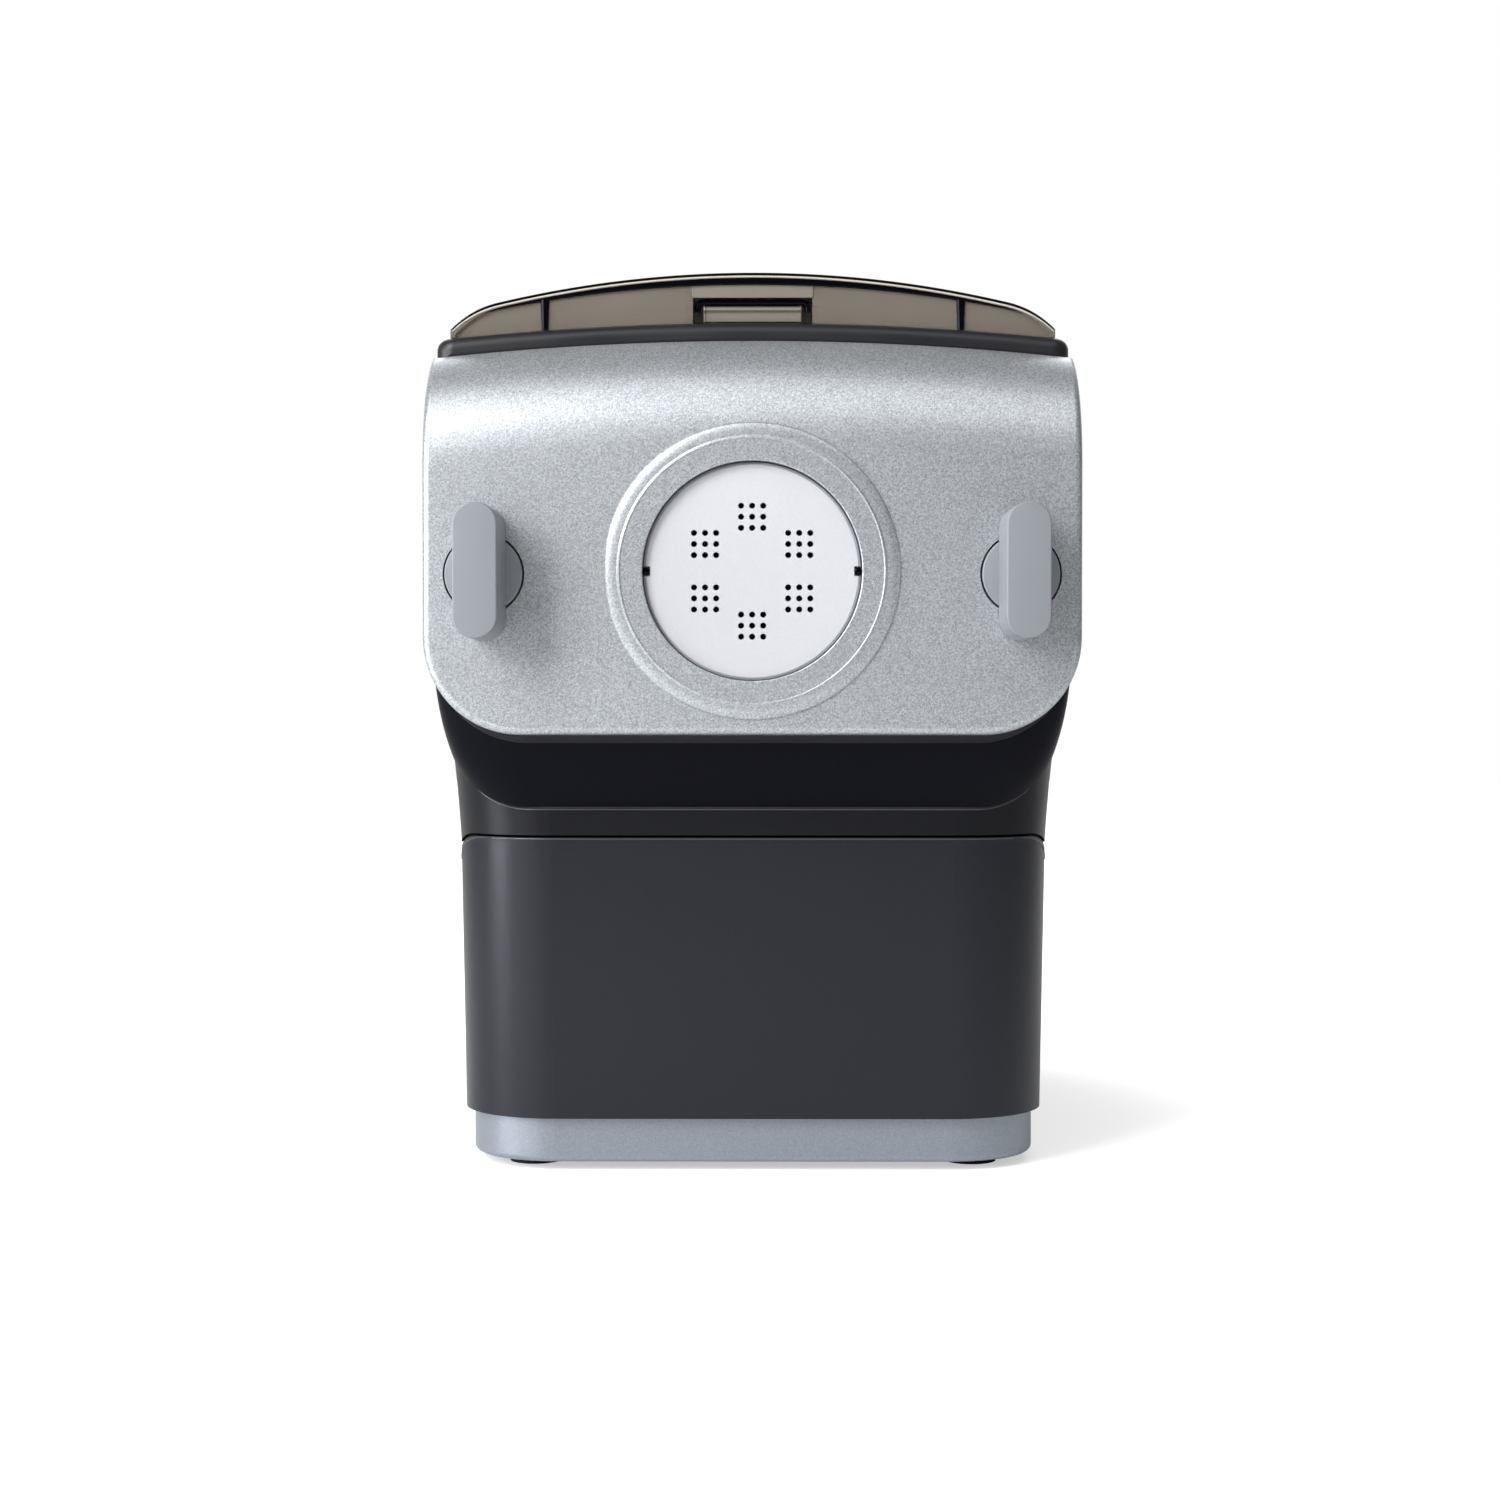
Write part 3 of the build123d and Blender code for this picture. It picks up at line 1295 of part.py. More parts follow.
# ---- lid ----
def lid_face(inset):
    """Front view of the lid: a long crown arc, tighter shoulder arcs, and a foot on the deck's arch."""
    half = lid_width / 2 - inset
    crown = total_height - inset
    radius = lid_crown_radius - inset
    lean = math.asin((lid_width / 2 - lid_shoulder - inset) / radius)
    shoulder = (radius * math.sin(lean), crown - radius * (1 - math.cos(lean)))
    foot = deck_top + seam
    rim = (half, arched(half, foot) + max(lid_rim - inset, 0.4))
    end = (half, arched(half, foot))
    right = TangentArc(shoulder, rim, tangent=(math.cos(lean), -math.sin(lean)))
    left = mirror(right, about=Plane.YZ)
    outline = Curve() + [
        ThreePointArc((-shoulder[0], shoulder[1]), (0, crown), shoulder),
        right,
        left,
        Line(rim, end),
        Line((-rim[0], rim[1]), (-end[0], end[1])),
        ThreePointArc(end, (0, foot), (-end[0], end[1])),
    ]
    return make_face(outline)


def lid_room():
    """The space under the lid's crown, open at its foot."""
    half = lid_width / 2 - lid_wall
    front = lid_front_y + lid_wall
    rear = lid_rear_y - lid_wall
    return along_y(lid_face(lid_wall), front, rear) + block(-half, half, front, rear, deck_bottom,
                                                            arched(half, deck_top) + 2 * seam)


def lid_shell():
    """The see-through lid: a thin crown over inset walls, with a pouring slot and a pocket for the catch."""
    outer = along_y(lid_face(0), lid_front_y - lid_overhang, lid_rear_y)
    walls = along_y(lid_face(lid_overhang), lid_front_y, lid_rear_y)
    form = walls + along_y(lid_face(0) - lid_face(lid_sheet), lid_front_y - lid_overhang, lid_rear_y)
    shell = form - lid_room()
    half = catch_recess_width / 2
    back = lid_front_y + catch_recess_depth
    pocket = block(-half - lid_wall, half + lid_wall, lid_front_y, back + lid_wall, deck_bottom,
                   catch_recess_top + lid_wall)
    shell += pocket & along_y(lid_face(0), lid_front_y, lid_rear_y)
    shell -= block(-half, half, lid_front_y - 1, back, deck_bottom, catch_recess_top)
    shell -= catch_pin(half + lid_wall + 1, catch_pin_radius + running_fit)
    shell -= Pos(0, slot_y, 0) * along_z(SlotOverall(slot_length, slot_width), deck_top, total_height + 1)
    for side in (-1, 1):
        shell -= hinge_tongue(side * hinge_x)
    pad = post(plunger_x, plunger_y, arched(plunger_x, deck_top) + 2 * seam, total_height, plunger_radius + 0.8)
    return shell + (pad & outer)


def hinge_tongue(x):
    """The part of a hinge arm that passes through the lid's rear wall."""
    return block(x - 4, x + 4, lid_rear_y - lid_wall - 1, lid_rear_y + 1, hinge_z() - 3, hinge_z() + 1)


def lid_frame():
    """The dark pieces inside the lid: a long rib on each side, each with its hinge arm and knuckle."""
    rib_bottom = arched(rib_x, deck_top) + seam + 0.6
    front = lid_front_y + lid_wall
    rear = lid_rear_y - lid_wall
    pieces = []
    for side in (-1, 1):
        x = side * hinge_x
        rib = side * rib_x
        rib_top = rib_bottom + rib_height
        piece = block(rib - rib_width / 2, rib + rib_width / 2, front, rear, rib_bottom, rib_top)
        piece += block(min(x - 5, rib), max(x + 5, rib), rear - 3, rear, rib_bottom, rib_top)
        piece += block(x - knuckle_width / 2, x + knuckle_width / 2, lid_rear_y, hinge_y, hinge_z() - 4,
                       hinge_z() + 2)
        piece += Pos(x, hinge_y, hinge_z()) * Rot(0, 90, 0) * Cylinder(knuckle_radius, knuckle_width)
        piece += hinge_tongue(x)
        piece -= Pos(x, hinge_y, hinge_z()) * Rot(0, 90, 0) * Cylinder(hinge_pin_radius + running_fit,
                                                                        knuckle_width + 1)
        pieces.append(piece)
    return Compound(children=pieces)


def catch_pin(half, radius):
    """A cylinder on the catch's pivot line."""
    return Pos(0, lid_front_y + catch_inset, catch_z) * Rot(0, 90, 0) * Cylinder(radius, 2 * half)


def hinge_pins():
    """Two steel pins held by the deck's ears."""
    pins = []
    length = knuckle_width + 2 * swing_gap + 2 * ear_width
    for side in (-1, 1):
        pin = Pos(side * hinge_x, hinge_y, hinge_z()) * Rot(0, 90, 0) * Cylinder(hinge_pin_radius, length)
        pins.append(pin)
    return Compound(children=pins)


def lid_catch():
    """The finger catch in the lid's front pocket, hanging from the bar that it pivots on."""
    half = catch_width / 2
    pivot_y = lid_front_y + catch_inset
    foot = deck_top + seam + swing_gap
    catch = catch_pin(catch_bar_width / 2, catch_bar_radius)
    catch += catch_pin(catch_recess_width / 2 + lid_wall, catch_pin_radius)
    catch += block(-half, half, pivot_y - 1.9, pivot_y - 0.1, foot, catch_z)
    lip = block(-half, half, pivot_y - 6.0, pivot_y - 0.4, foot, foot + 2)
    return catch + fillet(lip.edges().filter_by(Axis.X), 0.9)


# ---- electrics ----
def mains_inlet():
    """A mains inlet: a framed socket with a closed back, set in the rear wall."""
    x0, x1 = inlet_x - inlet_width / 2, inlet_x + inlet_width / 2
    z0, z1 = inlet_z - inlet_height / 2, inlet_z + inlet_height / 2
    back = rear_y - inlet_depth
    body = block(x0 + 0.2, x1 - 0.2, back, rear_y, z0 + 0.2, z1 - 0.2)
    room = Pos(inlet_x, inlet_z) * RectangleRounded(inlet_width - 5, inlet_height - 5, 3)
    body -= along_y(room, back + 2, rear_y + 1)
    for dx, dz in inlet_pin_places():
        body -= rod(inlet_x + dx, inlet_z + dz, back - 1, back + 3, pin_radius)
    return body


def inlet_pin_places():
    return [(-7.0, -1.5), (7.0, -1.5), (0.0, 2.5)]


def inlet_pins():
    """The three contact pins of the inlet."""
    back = rear_y - inlet_depth
    pins = []
    for dx, dz in inlet_pin_places():
        pin = rod(inlet_x + dx, inlet_z + dz, back - 6, rear_y - 5, pin_radius)
        pins.append(pin)
    return Compound(children=pins)


def power_board():
    """The supply board low in the rear of the body, with its larger components."""
    z = base_top + wall + power_board_rise
    x0, x1 = power_board_x - power_board_width / 2, power_board_x + power_board_width / 2
    y1 = rear_y - power_board_rear_gap
    y0 = y1 - power_board_depth
    plate = block(x0, x1, y0, y1, z, z + board_thickness)
    top = z + board_thickness - 0.1
    plate += post(x0 + 20, y0 + 24, top, top + 24, 9)
    plate += block(x0 + 36, x0 + 62, y0 + 12, y0 + 40, top, top + 20)
    plate += block(x0 + 72, x0 + 96, y0 + 18, y0 + 24, top, top + 26)
    for x in (x0 + 6, x1 - 6):
        for y in (y0 + 6, y1 - 6):
            plate += post(x, y, foot_height + base_floor, z + 0.1, 3)
    return plate


def safety_switch():
    """The micro switch under the deck that senses the closed lid."""
    return block(plunger_x - 3, plunger_x + 3, plunger_y - 10, plunger_y + 10, deck_bottom - 11, deck_bottom)


def switch_plunger():
    """The pin in the deck that the lid presses down."""
    top = arched(plunger_x, deck_top) + seam / 2
    return post(plunger_x, plunger_y, deck_bottom + slide_gap, top, plunger_radius)


parts = {
    "base_pan": base_pan(),
    "rubber_feet": rubber_feet(),
    "base_screws": base_screws(),
    "main_housing": main_housing(),
    "front_collar": front_collar(),
    "top_deck": top_deck(),
    "rear_cover": rear_cover(),
    "control_fascia": control_fascia(),
    "display_window": display_window(),
    "control_board": control_board(),
    "front_panel": front_panel(),
    "nozzle_ring": nozzle_ring(),
    "panel_backing": panel_backing(),
    "left_knob": knob(-1),
    "right_knob": knob(1),
    "left_knob_nut": knob_nut(-1),
    "right_knob_nut": knob_nut(1),
    "clamp_studs": clamp_studs(),
    "stud_yoke": stud_yoke(),
    "shaping_disc": shaping_disc(),
    "extrusion_tube": extrusion_tube(),
    "auger": auger(),
    "mixing_paddle": mixing_paddle(),
    "mixing_chamber": mixing_chamber(),
    "shaft_seal": shaft_seal(),
    "output_gear": output_gear(),
    "output_shaft": output_shaft(),
    "layshaft": layshaft(),
    "layshaft_gear": layshaft_gear(),
    "rotor_shaft": rotor_shaft(),
    "gearbox_case": gearbox_case(),
    "gearbox_cover": gearbox_cover(),
    "gearbox_screws": gearbox_screws(),
    "gearbox_bushes": gearbox_bushes(),
    "stator": stator(),
    "windings": windings(),
    "front_bell": end_bell(True),
    "rear_bell": end_bell(False),
    "motor_bushes": motor_bushes(),
    "rotor_core": rotor_core(),
    "cooling_fan": cooling_fan(),
    "bulkhead": bulkhead(),
    "drawer_front": drawer_front(),
    "drawer_tray": drawer_tray(),
    "disc_rack": disc_rack(),
    "spare_discs": spare_discs(),
    "drawer_runners": drawer_runners(),
    "lid_shell": lid_shell(),
    "lid_frame": lid_frame(),
    "hinge_pins": hinge_pins(),
    "lid_catch": lid_catch(),
    "mains_inlet": mains_inlet(),
    "inlet_pins": inlet_pins(),
    "power_board": power_board(),
    "safety_switch": safety_switch(),
    "switch_plunger": switch_plunger(),
}
for index, name in enumerate(("power_button", "program_button", "extra_button", "start_button")):
    parts[name] = button(button_places()[index])

os.makedirs("parts", exist_ok=True)
for name, shape in parts.items():
    export_step(shape, f"parts/{name}.step")
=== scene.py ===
import json
import math
import bmesh
import bpy
import numpy as np
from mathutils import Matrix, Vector
from mathutils.bvhtree import BVHTree


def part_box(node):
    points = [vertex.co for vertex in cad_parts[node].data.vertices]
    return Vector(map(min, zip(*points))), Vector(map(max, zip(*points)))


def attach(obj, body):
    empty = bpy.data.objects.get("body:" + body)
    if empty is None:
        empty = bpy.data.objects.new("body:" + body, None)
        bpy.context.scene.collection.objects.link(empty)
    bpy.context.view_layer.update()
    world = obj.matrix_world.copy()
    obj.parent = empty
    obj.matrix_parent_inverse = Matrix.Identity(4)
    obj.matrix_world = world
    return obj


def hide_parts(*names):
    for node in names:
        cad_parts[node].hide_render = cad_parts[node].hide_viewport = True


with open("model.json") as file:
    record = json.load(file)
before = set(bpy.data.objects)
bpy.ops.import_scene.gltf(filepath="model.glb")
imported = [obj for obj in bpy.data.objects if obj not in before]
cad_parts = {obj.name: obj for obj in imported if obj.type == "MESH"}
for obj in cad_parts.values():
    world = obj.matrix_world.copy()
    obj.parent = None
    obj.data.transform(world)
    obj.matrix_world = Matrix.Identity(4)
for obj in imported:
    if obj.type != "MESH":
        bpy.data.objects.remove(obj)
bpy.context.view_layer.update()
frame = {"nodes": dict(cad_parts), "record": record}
print("frame loaded:", len(frame["nodes"]), "nodes")

millimetre = 0.001      # pieces are worked out in millimetres; camera, lamps, floor and patterns in metres


def linear(hexText):
    # sRGB hex to linear light, channel by channel, with full alpha
    channels = [int(hexText[i:i + 2], 16) / 255 for i in (0, 2, 4)]
    return tuple(c / 12.92 if c <= 0.04045 else ((c + 0.055) / 1.055) ** 2.4 for c in channels) + (1.0,)


def addNode(tree, kind, settings=None, links=None, into=None):
    # one node with its settings (attributes or socket values), its incoming links, and where its result goes
    node = tree.nodes.new(kind)
    for name, value in (settings or {}).items():
        if isinstance(name, int) or name in node.inputs:
            node.inputs[name].default_value = value
        else:
            setattr(node, name, value)
    for name, source in (links or {}).items():
        tree.links.new(source, node.inputs[name])
    if into is not None:
        tree.links.new(node.outputs[0], into)
    return node


def corners(node):
    # lowest and highest corner of a CAD node, in millimetres
    low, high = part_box(node)
    return np.array(low) / millimetre, np.array(high) / millimetre


def gridFaces(rows, columns, closeRows, closeColumns, flip=False):
    # quads of a grid of points stored row by row, with either way joined up at its end if asked
    row = np.arange(rows if closeRows else rows - 1)[:, None]
    column = np.arange(columns if closeColumns else columns - 1)[None, :]
    nextRow = (row + 1) % rows
    nextColumn = (column + 1) % columns
    quads = np.stack(np.broadcast_arrays(row * columns + column, row * columns + nextColumn,
                                         nextRow * columns + nextColumn, nextRow * columns + column), -1)
    quads = quads.reshape(-1, 4)
    return (quads[:, ::-1] if flip else quads).tolist()


# camera: level with the middle of the body and 0.8 m in front of the panel
view = {
    "place": (0.0042, -0.946, 0.160),
    "pitch": 1.16,          # degrees below level
    "turn": 0.35,           # degrees to the left
    "lens": 59.0,
    "sensor": 36.0,
    "nearest": 0.01,
}


def setCamera():
    camera = bpy.data.objects.new("camera", bpy.data.cameras.new("camera"))
    bpy.context.scene.collection.objects.link(camera)
    camera.location = view["place"]
    camera.rotation_euler = (math.radians(90 - view["pitch"]), 0, math.radians(view["turn"]))
    camera.data.sensor_width = view["sensor"]
    camera.data.lens = view["lens"]
    camera.data.clip_start = view["nearest"]
    bpy.context.scene.camera = camera


# studio: white behind, a dimmer room in front, soft boxes round the machine
studio = {
    "roomLight": 0.29,      # what the room adds to matt surfaces
    "roomFront": 0.13,      # how bright the room in front looks in glossy surfaces
    "roomTurn": (0.35, 0.95),       # y of a reflection's direction over which the room turns to white
    "lamps": {
        # name: place, aim, width and height, watts, tint
        "keyLeft": ((-1.05, -1.3, 1.05), (0, -0.1, 0.17), (0.7, 1.2), 34.0, (1.0, 1.0, 1.0)),
        "sideLeft": ((-1.4, -0.6, 0.36), (0, -0.05, 0.12), (0.5, 0.6), 10.0, (0.96, 0.98, 1.0)),
        "topBox": ((0.0, -0.83, 1.27), (0, -0.12, 0.27), (1.6, 0.9), 4.9, (1.0, 1.0, 1.0)),
        "fillRight": ((1.35, -1.2, 0.7), (0, -0.1, 0.16), (0.8, 1.2), 0.3, (0.97, 0.98, 1.0)),
        "backBox": ((0.0, 1.2, 1.5), (0, 0.1, 0.2), (1.6, 0.8), 9.0, (1.0, 1.0, 1.0)),
    },
}


def hangLamp(name, place, aim, size, watts, tint):
    light = bpy.data.lights.new(name, "AREA")
    light.shape = "RECTANGLE"
    light.size, light.size_y = size
    light.energy = watts
    light.color = tint
    lamp = bpy.data.objects.new(name, light)
    lamp.location = place
    lamp.rotation_euler = (Vector(aim) - Vector(place)).to_track_quat("-Z", "Y").to_euler()
    bpy.context.scene.collection.objects.link(lamp)


def buildRoom():
    # the camera and clear plastic see plain white; gloss sees white behind and a dim room in front
    scene = bpy.context.scene
    scene.view_settings.view_transform = "Standard"
    world = bpy.data.worlds.new("studio")
    scene.world = world
    world.use_nodes = True
    tree = world.node_tree
    tree.nodes.clear()
    path = addNode(tree, "ShaderNodeLightPath")
    ray = addNode(tree, "ShaderNodeTexCoord")
    way = addNode(tree, "ShaderNodeSeparateXYZ", {}, {0: ray.outputs["Generated"]})
    turnFrom, turnTo = studio["roomTurn"]
    behind = addNode(tree, "ShaderNodeMapRange",
                     {"From Min": turnFrom, "From Max": turnTo, "To Min": studio["roomFront"],
                      "To Max": 1.0, "interpolation_type": "SMOOTHSTEP"}, {"Value": way.outputs["Y"]})
    glossy = addNode(tree, "ShaderNodeMix", {"data_type": "FLOAT", "A": studio["roomLight"]},
                     {"Factor": path.outputs["Is Glossy Ray"], "B": behind.outputs[0]})
    seen = addNode(tree, "ShaderNodeMath", {"operation": "MAXIMUM"},
                   {0: path.outputs["Is Camera Ray"], 1: path.outputs["Is Transmission Ray"]})
    strength = addNode(tree, "ShaderNodeMix", {"data_type": "FLOAT", "B": 1.0},
                       {"Factor": seen.outputs[0], "A": glossy.outputs[0]})
    back = addNode(tree, "ShaderNodeBackground", {"Color": (1, 1, 1, 1)},
                   {"Strength": strength.outputs[0]})
    addNode(tree, "ShaderNodeOutputWorld", {}, {"Surface": back.outputs[0]})
    for name, lamp in studio["lamps"].items():
        hangLamp(name, *lamp)


# floor: a pale round sheet with a painted glow that only the camera sees, half as strong by the feet as far
# off, so that it turns to white away from the feet and the cast shadow shows only near them
sweep = {
    "radius": 4.0, "rings": 23, "sides": 64,
    "crowding": 1.6,        # above 1 the rings lie closer together near the middle
    "colour": "e6e6e6", "roughness": 0.6, "specular": 0.2,
    "whiteNear": 0.5, "whiteFar": 1.0,      # white added for the camera, by the feet and far off
    "whiteReach": (0.13, 0.28),             # distance from the middle over which it rises
}


def buildFloor():
    # a flat sheet of rings: point(r, a) = (r cos a, r sin a, 0)
    rings, sides = sweep["rings"], sweep["sides"]
    radii = sweep["radius"] * np.linspace(0, 1, rings + 1)[1:] ** sweep["crowding"]
    angles = np.linspace(0, 2 * math.pi, sides, endpoint=False)
    spread = np.stack([radii[:, None] * np.cos(angles), radii[:, None] * np.sin(angles),
                       np.zeros((rings, sides))], -1).reshape(-1, 3)
    fan = [(len(spread), i, (i + 1) % sides) for i in range(sides)]
    mesh = bpy.data.meshes.new("floor")
    mesh.from_pydata(np.vstack([spread, [[0, 0, 0]]]).tolist(), [],
                     fan + gridFaces(rings, sides, False, True, flip=True))
    material = bpy.data.materials.new("paleFloor")
    material.use_nodes = True
    tree = material.node_tree
    shader = tree.nodes["Principled BSDF"]
    shader.inputs["Base Color"].default_value = linear(sweep["colour"])
    shader.inputs["Roughness"].default_value = sweep["roughness"]
    shader.inputs["Specular IOR Level"].default_value = sweep["specular"]
    # painted glow: white added for the camera, rising with the distance from the middle, which washes out
    # the cast shadow away from the feet
    place = addNode(tree, "ShaderNodeTexCoord")
    reach = addNode(tree, "ShaderNodeVectorMath", {"operation": "LENGTH"}, {0: place.outputs["Object"]})
    near, far = sweep["whiteReach"]
    glow = addNode(tree, "ShaderNodeMapRange",
                   {"From Min": near, "From Max": far, "To Min": sweep["whiteNear"],
                    "To Max": sweep["whiteFar"], "interpolation_type": "SMOOTHSTEP"},
                   {"Value": reach.outputs["Value"]})
    path = addNode(tree, "ShaderNodeLightPath")
    seen = addNode(tree, "ShaderNodeMath", {"operation": "MULTIPLY"},
                   {0: glow.outputs[0], 1: path.outputs["Is Camera Ray"]})
    light = addNode(tree, "ShaderNodeEmission", {}, {"Strength": seen.outputs[0]})
    addNode(tree, "ShaderNodeAddShader", {}, {0: shader.outputs[0], 1: light.outputs[0]},
            tree.nodes["Material Output"].inputs["Surface"])
    mesh.materials.append(material)
    floor = bpy.data.objects.new("floor", mesh)
    bpy.context.scene.collection.objects.link(floor)


def newFinish(name, settings):
    # a Principled surface on Object coordinates; the caller adds its pattern
    material = bpy.data.materials.new(name)
    material.use_nodes = True
    tree = material.node_tree
    shader = tree.nodes["Principled BSDF"]
    for socket, value in settings.items():
        shader.inputs[socket].default_value = value
    place = addNode(tree, "ShaderNodeTexCoord").outputs["Object"]
    return material, tree, shader, place


def tintBy(tree, shader, pattern, colour, low, high):
    # the base colour, darker and lighter with a pattern that runs from 0 to 1
    tone = addNode(tree, "ShaderNodeMapRange", {"To Min": low, "To Max": high}, {"Value": pattern})
    addNode(tree, "ShaderNodeVectorMath", {"operation": "SCALE", 0: linear(colour)[:3]},
            {"Scale": tone.outputs[0]}, shader.inputs["Base Color"])


# sprayed lacquer with aluminium flakes on moulded ABS, under a satin clear coat: the flakes glint one by
# one. Real flakes are 0.03 mm across; they are drawn 0.4 mm apart so that they show
lacquers = {
    # name: base colour, share of metal, roughness, flake contrast, flake tilt, specular level, clear coat
    "metallicLacquerSilver": ("bec2c7", 0.72, 0.36, 0.50, 0.45, 0.5, 0.15),
    "metallicLacquerBase": ("9ca3ad", 0.72, 0.34, 0.16, 0.30, 0.5, 0.15),
    "metallicLacquerButton": ("b4b7bc", 0.60, 0.30, 0.08, 0.15, 0.5, 0.15),
    # a lighter copy of the charcoal lacquer for the cords along the body's and the drawer's edges: painted
    # highlight
    "edgeLacquerPaintedHighlight": ("55565d", 0.50, 0.30, 0.10, 0.10, 0.5, 0.15),
    "metallicLacquerCharcoal": ("1d1f28", 0.35, 0.30, 0.14, 0.12, 0.5, 0.15),
    # a darker copy of the charcoal lacquer on the whole housing: painted shade, the shade under the panel's
    # overhang
    "housingLacquerPaintedShade": ("0f1017", 0.35, 0.30, 0.14, 0.12, 0.4, 0.08),
    # a duller copy of the housing lacquer, with little shine, that keeps the scoop dark: painted shade under
    # the panel
    "scoopLacquerPaintedShade": ("0e0f17", 0.50, 0.36, 0.10, 0.08, 0.12, 0.02),
}
spray = {
    "flakePitch": 0.0004,
    "mottleScale": 1500.0,  # a soft mottle over the flakes, 0.7 mm from crest to crest
    "mottleShare": 0.2,
    "peelPitch": 0.0022,    # the slow waviness that spraying leaves, 2 mm from crest to crest
    "peelShare": 0.15,
    "relief": 0.00006,
    "coatRoughness": 0.28,
}


def sprayedLacquer(name):
    colour, metallic, roughness, flake, tilt, specular, coat = lacquers[name]
    material, tree, shader, place = newFinish(name, {
        "Metallic": metallic, "Roughness": roughness, "Specular IOR Level": specular,
        "Coat Weight": coat, "Coat Roughness": spray["coatRoughness"], "Coat IOR": 1.5,
    })
    flakes = addNode(tree, "ShaderNodeTexVoronoi", {"Scale": 1 / spray["flakePitch"]}, {"Vector": place})
    mottle = addNode(tree, "ShaderNodeTexNoise", {"Scale": spray["mottleScale"], "Detail": 1.0},
                     {"Vector": place})
    grain = addNode(tree, "ShaderNodeMix", {"data_type": "FLOAT", "Factor": spray["mottleShare"]},
                    {"A": flakes.outputs["Color"], "B": mottle.outputs[0]})
    tintBy(tree, shader, grain.outputs[0], colour, 1 - flake, 1 + flake)
    peel = addNode(tree, "ShaderNodeTexNoise", {"Scale": 1 / spray["peelPitch"], "Detail": 1.0},
                   {"Vector": place})
    height = addNode(tree, "ShaderNodeMath", {"operation": "MULTIPLY_ADD", 1: spray["peelShare"]},
                     {0: peel.outputs[0], 2: flakes.outputs["Color"]})
    addNode(tree, "ShaderNodeBump", {"Strength": tilt, "Distance": spray["relief"]},
            {"Height": height.outputs[0]}, shader.inputs["Normal"])
    return material


# injection-moulded plastics: a spark-eroded grain from the tool, or its polish, and slight handling marks
moulded = {
    # name: base colour, roughness, grain depth, grain pitch, more sockets
    "polishedAbsBlack": ("050508", 0.10, 0.02, 0.0030,
                         {"Specular IOR Level": 0.12, "Specular Tint": (0.84, 0.9, 1.0, 1.0)}),
    "grainedAbsCharcoal": ("1b1b20", 0.38, 0.10, 0.0005, {}),
    "grainedAbsGrey": ("85898e", 0.38, 0.22, 0.0005, {}),
    "acetalWhite": ("c5c6cb", 0.34, 0.04, 0.0006,
                    {"Subsurface Weight": 0.08, "Subsurface Radius": (0.002, 0.002, 0.002)}),
    "acetalPale": ("d3d4d4", 0.36, 0.04, 0.0006, {}),
    # a pale cream for the cord along the lid's rim: a painted glint
    "paleRimPaintedGlint": ("c6c0b4", 0.25, 0.03, 0.0008, {}),
    "smokedSanPale": ("7d776c", 0.22, 0.04, 0.0008, {"Coat Weight": 0.2, "Coat Roughness": 0.05}),
    "nylonNatural": ("ddd6c2", 0.42, 0.08, 0.0006, {}),
    "rubberBlack": ("161617", 0.68, 0.16, 0.0006, {}),
    "siliconeGrey": ("86888c", 0.55, 0.08, 0.0006, {}),
    "solderMaskGreen": ("1a5531", 0.32, 0.05, 0.0012, {"Coat Weight": 0.4}),
}
handling = {
    "relief": 0.0001,
    "smearScale": 26.0,     # smears of handling, 40 mm from one to the next
    "smearSpan": (0.3, 0.7),
    "duller": (0.85, 1.2),  # factors on the roughness, from clean to smeared
    "tone": (0.93, 1.07),
}


def mouldedPlastic(name):
    colour, roughness, depth, pitch, more = moulded[name]
    material, tree, shader, place = newFinish(name, {"IOR": 1.5, **more})
    grain = addNode(tree, "ShaderNodeTexNoise", {"Scale": 1 / pitch, "Detail": 2.0}, {"Vector": place})
    addNode(tree, "ShaderNodeBump", {"Strength": depth, "Distance": handling["relief"]},
            {"Height": grain.outputs[0]}, shader.inputs["Normal"])
    smear = addNode(tree, "ShaderNodeTexNoise", {"Scale": handling["smearScale"], "Detail": 4.0},
                    {"Vector": place})
    clean, smeared = (roughness * factor for factor in handling["duller"])
    least, most = handling["smearSpan"]
    addNode(tree, "ShaderNodeMapRange",
            {"From Min": least, "From Max": most, "To Min": clean, "To Max": smeared},
            {"Value": smear.outputs[0]}, shader.inputs["Roughness"])
    tintBy(tree, shader, grain.outputs[0], colour, *handling["tone"])
    return material


# moulded SAN, the clear plastic of lids and bowls: glossy, with faint flow waves from the mould
clearSan = {
    # name: tint, share of light let through, roughness
    "smokedSan": ("a2998d", 0.62, 0.14),
    "waterClearSan": ("e2e7ea", 0.90, 0.05),
}
flowWaves = {
    "scale": 34.0,          # 30 mm from crest to crest
    "strength": 0.02, "relief": 0.0008, "tone": (0.92, 1.08),
}


def clearPlastic(name):
    tint, clear, roughness = clearSan[name]
    material, tree, shader, place = newFinish(name, {
        "Roughness": roughness, "IOR": 1.57, "Transmission Weight": clear,
    })
    wave = addNode(tree, "ShaderNodeTexNoise", {"Scale": flowWaves["scale"], "Detail": 1.5},
                   {"Vector": place})
    addNode(tree, "ShaderNodeBump", {"Strength": flowWaves["strength"], "Distance": flowWaves["relief"]},
            {"Height": wave.outputs[0]}, shader.inputs["Normal"])
    tintBy(tree, shader, wave.outputs[0], tint, *flowWaves["tone"])
    return material


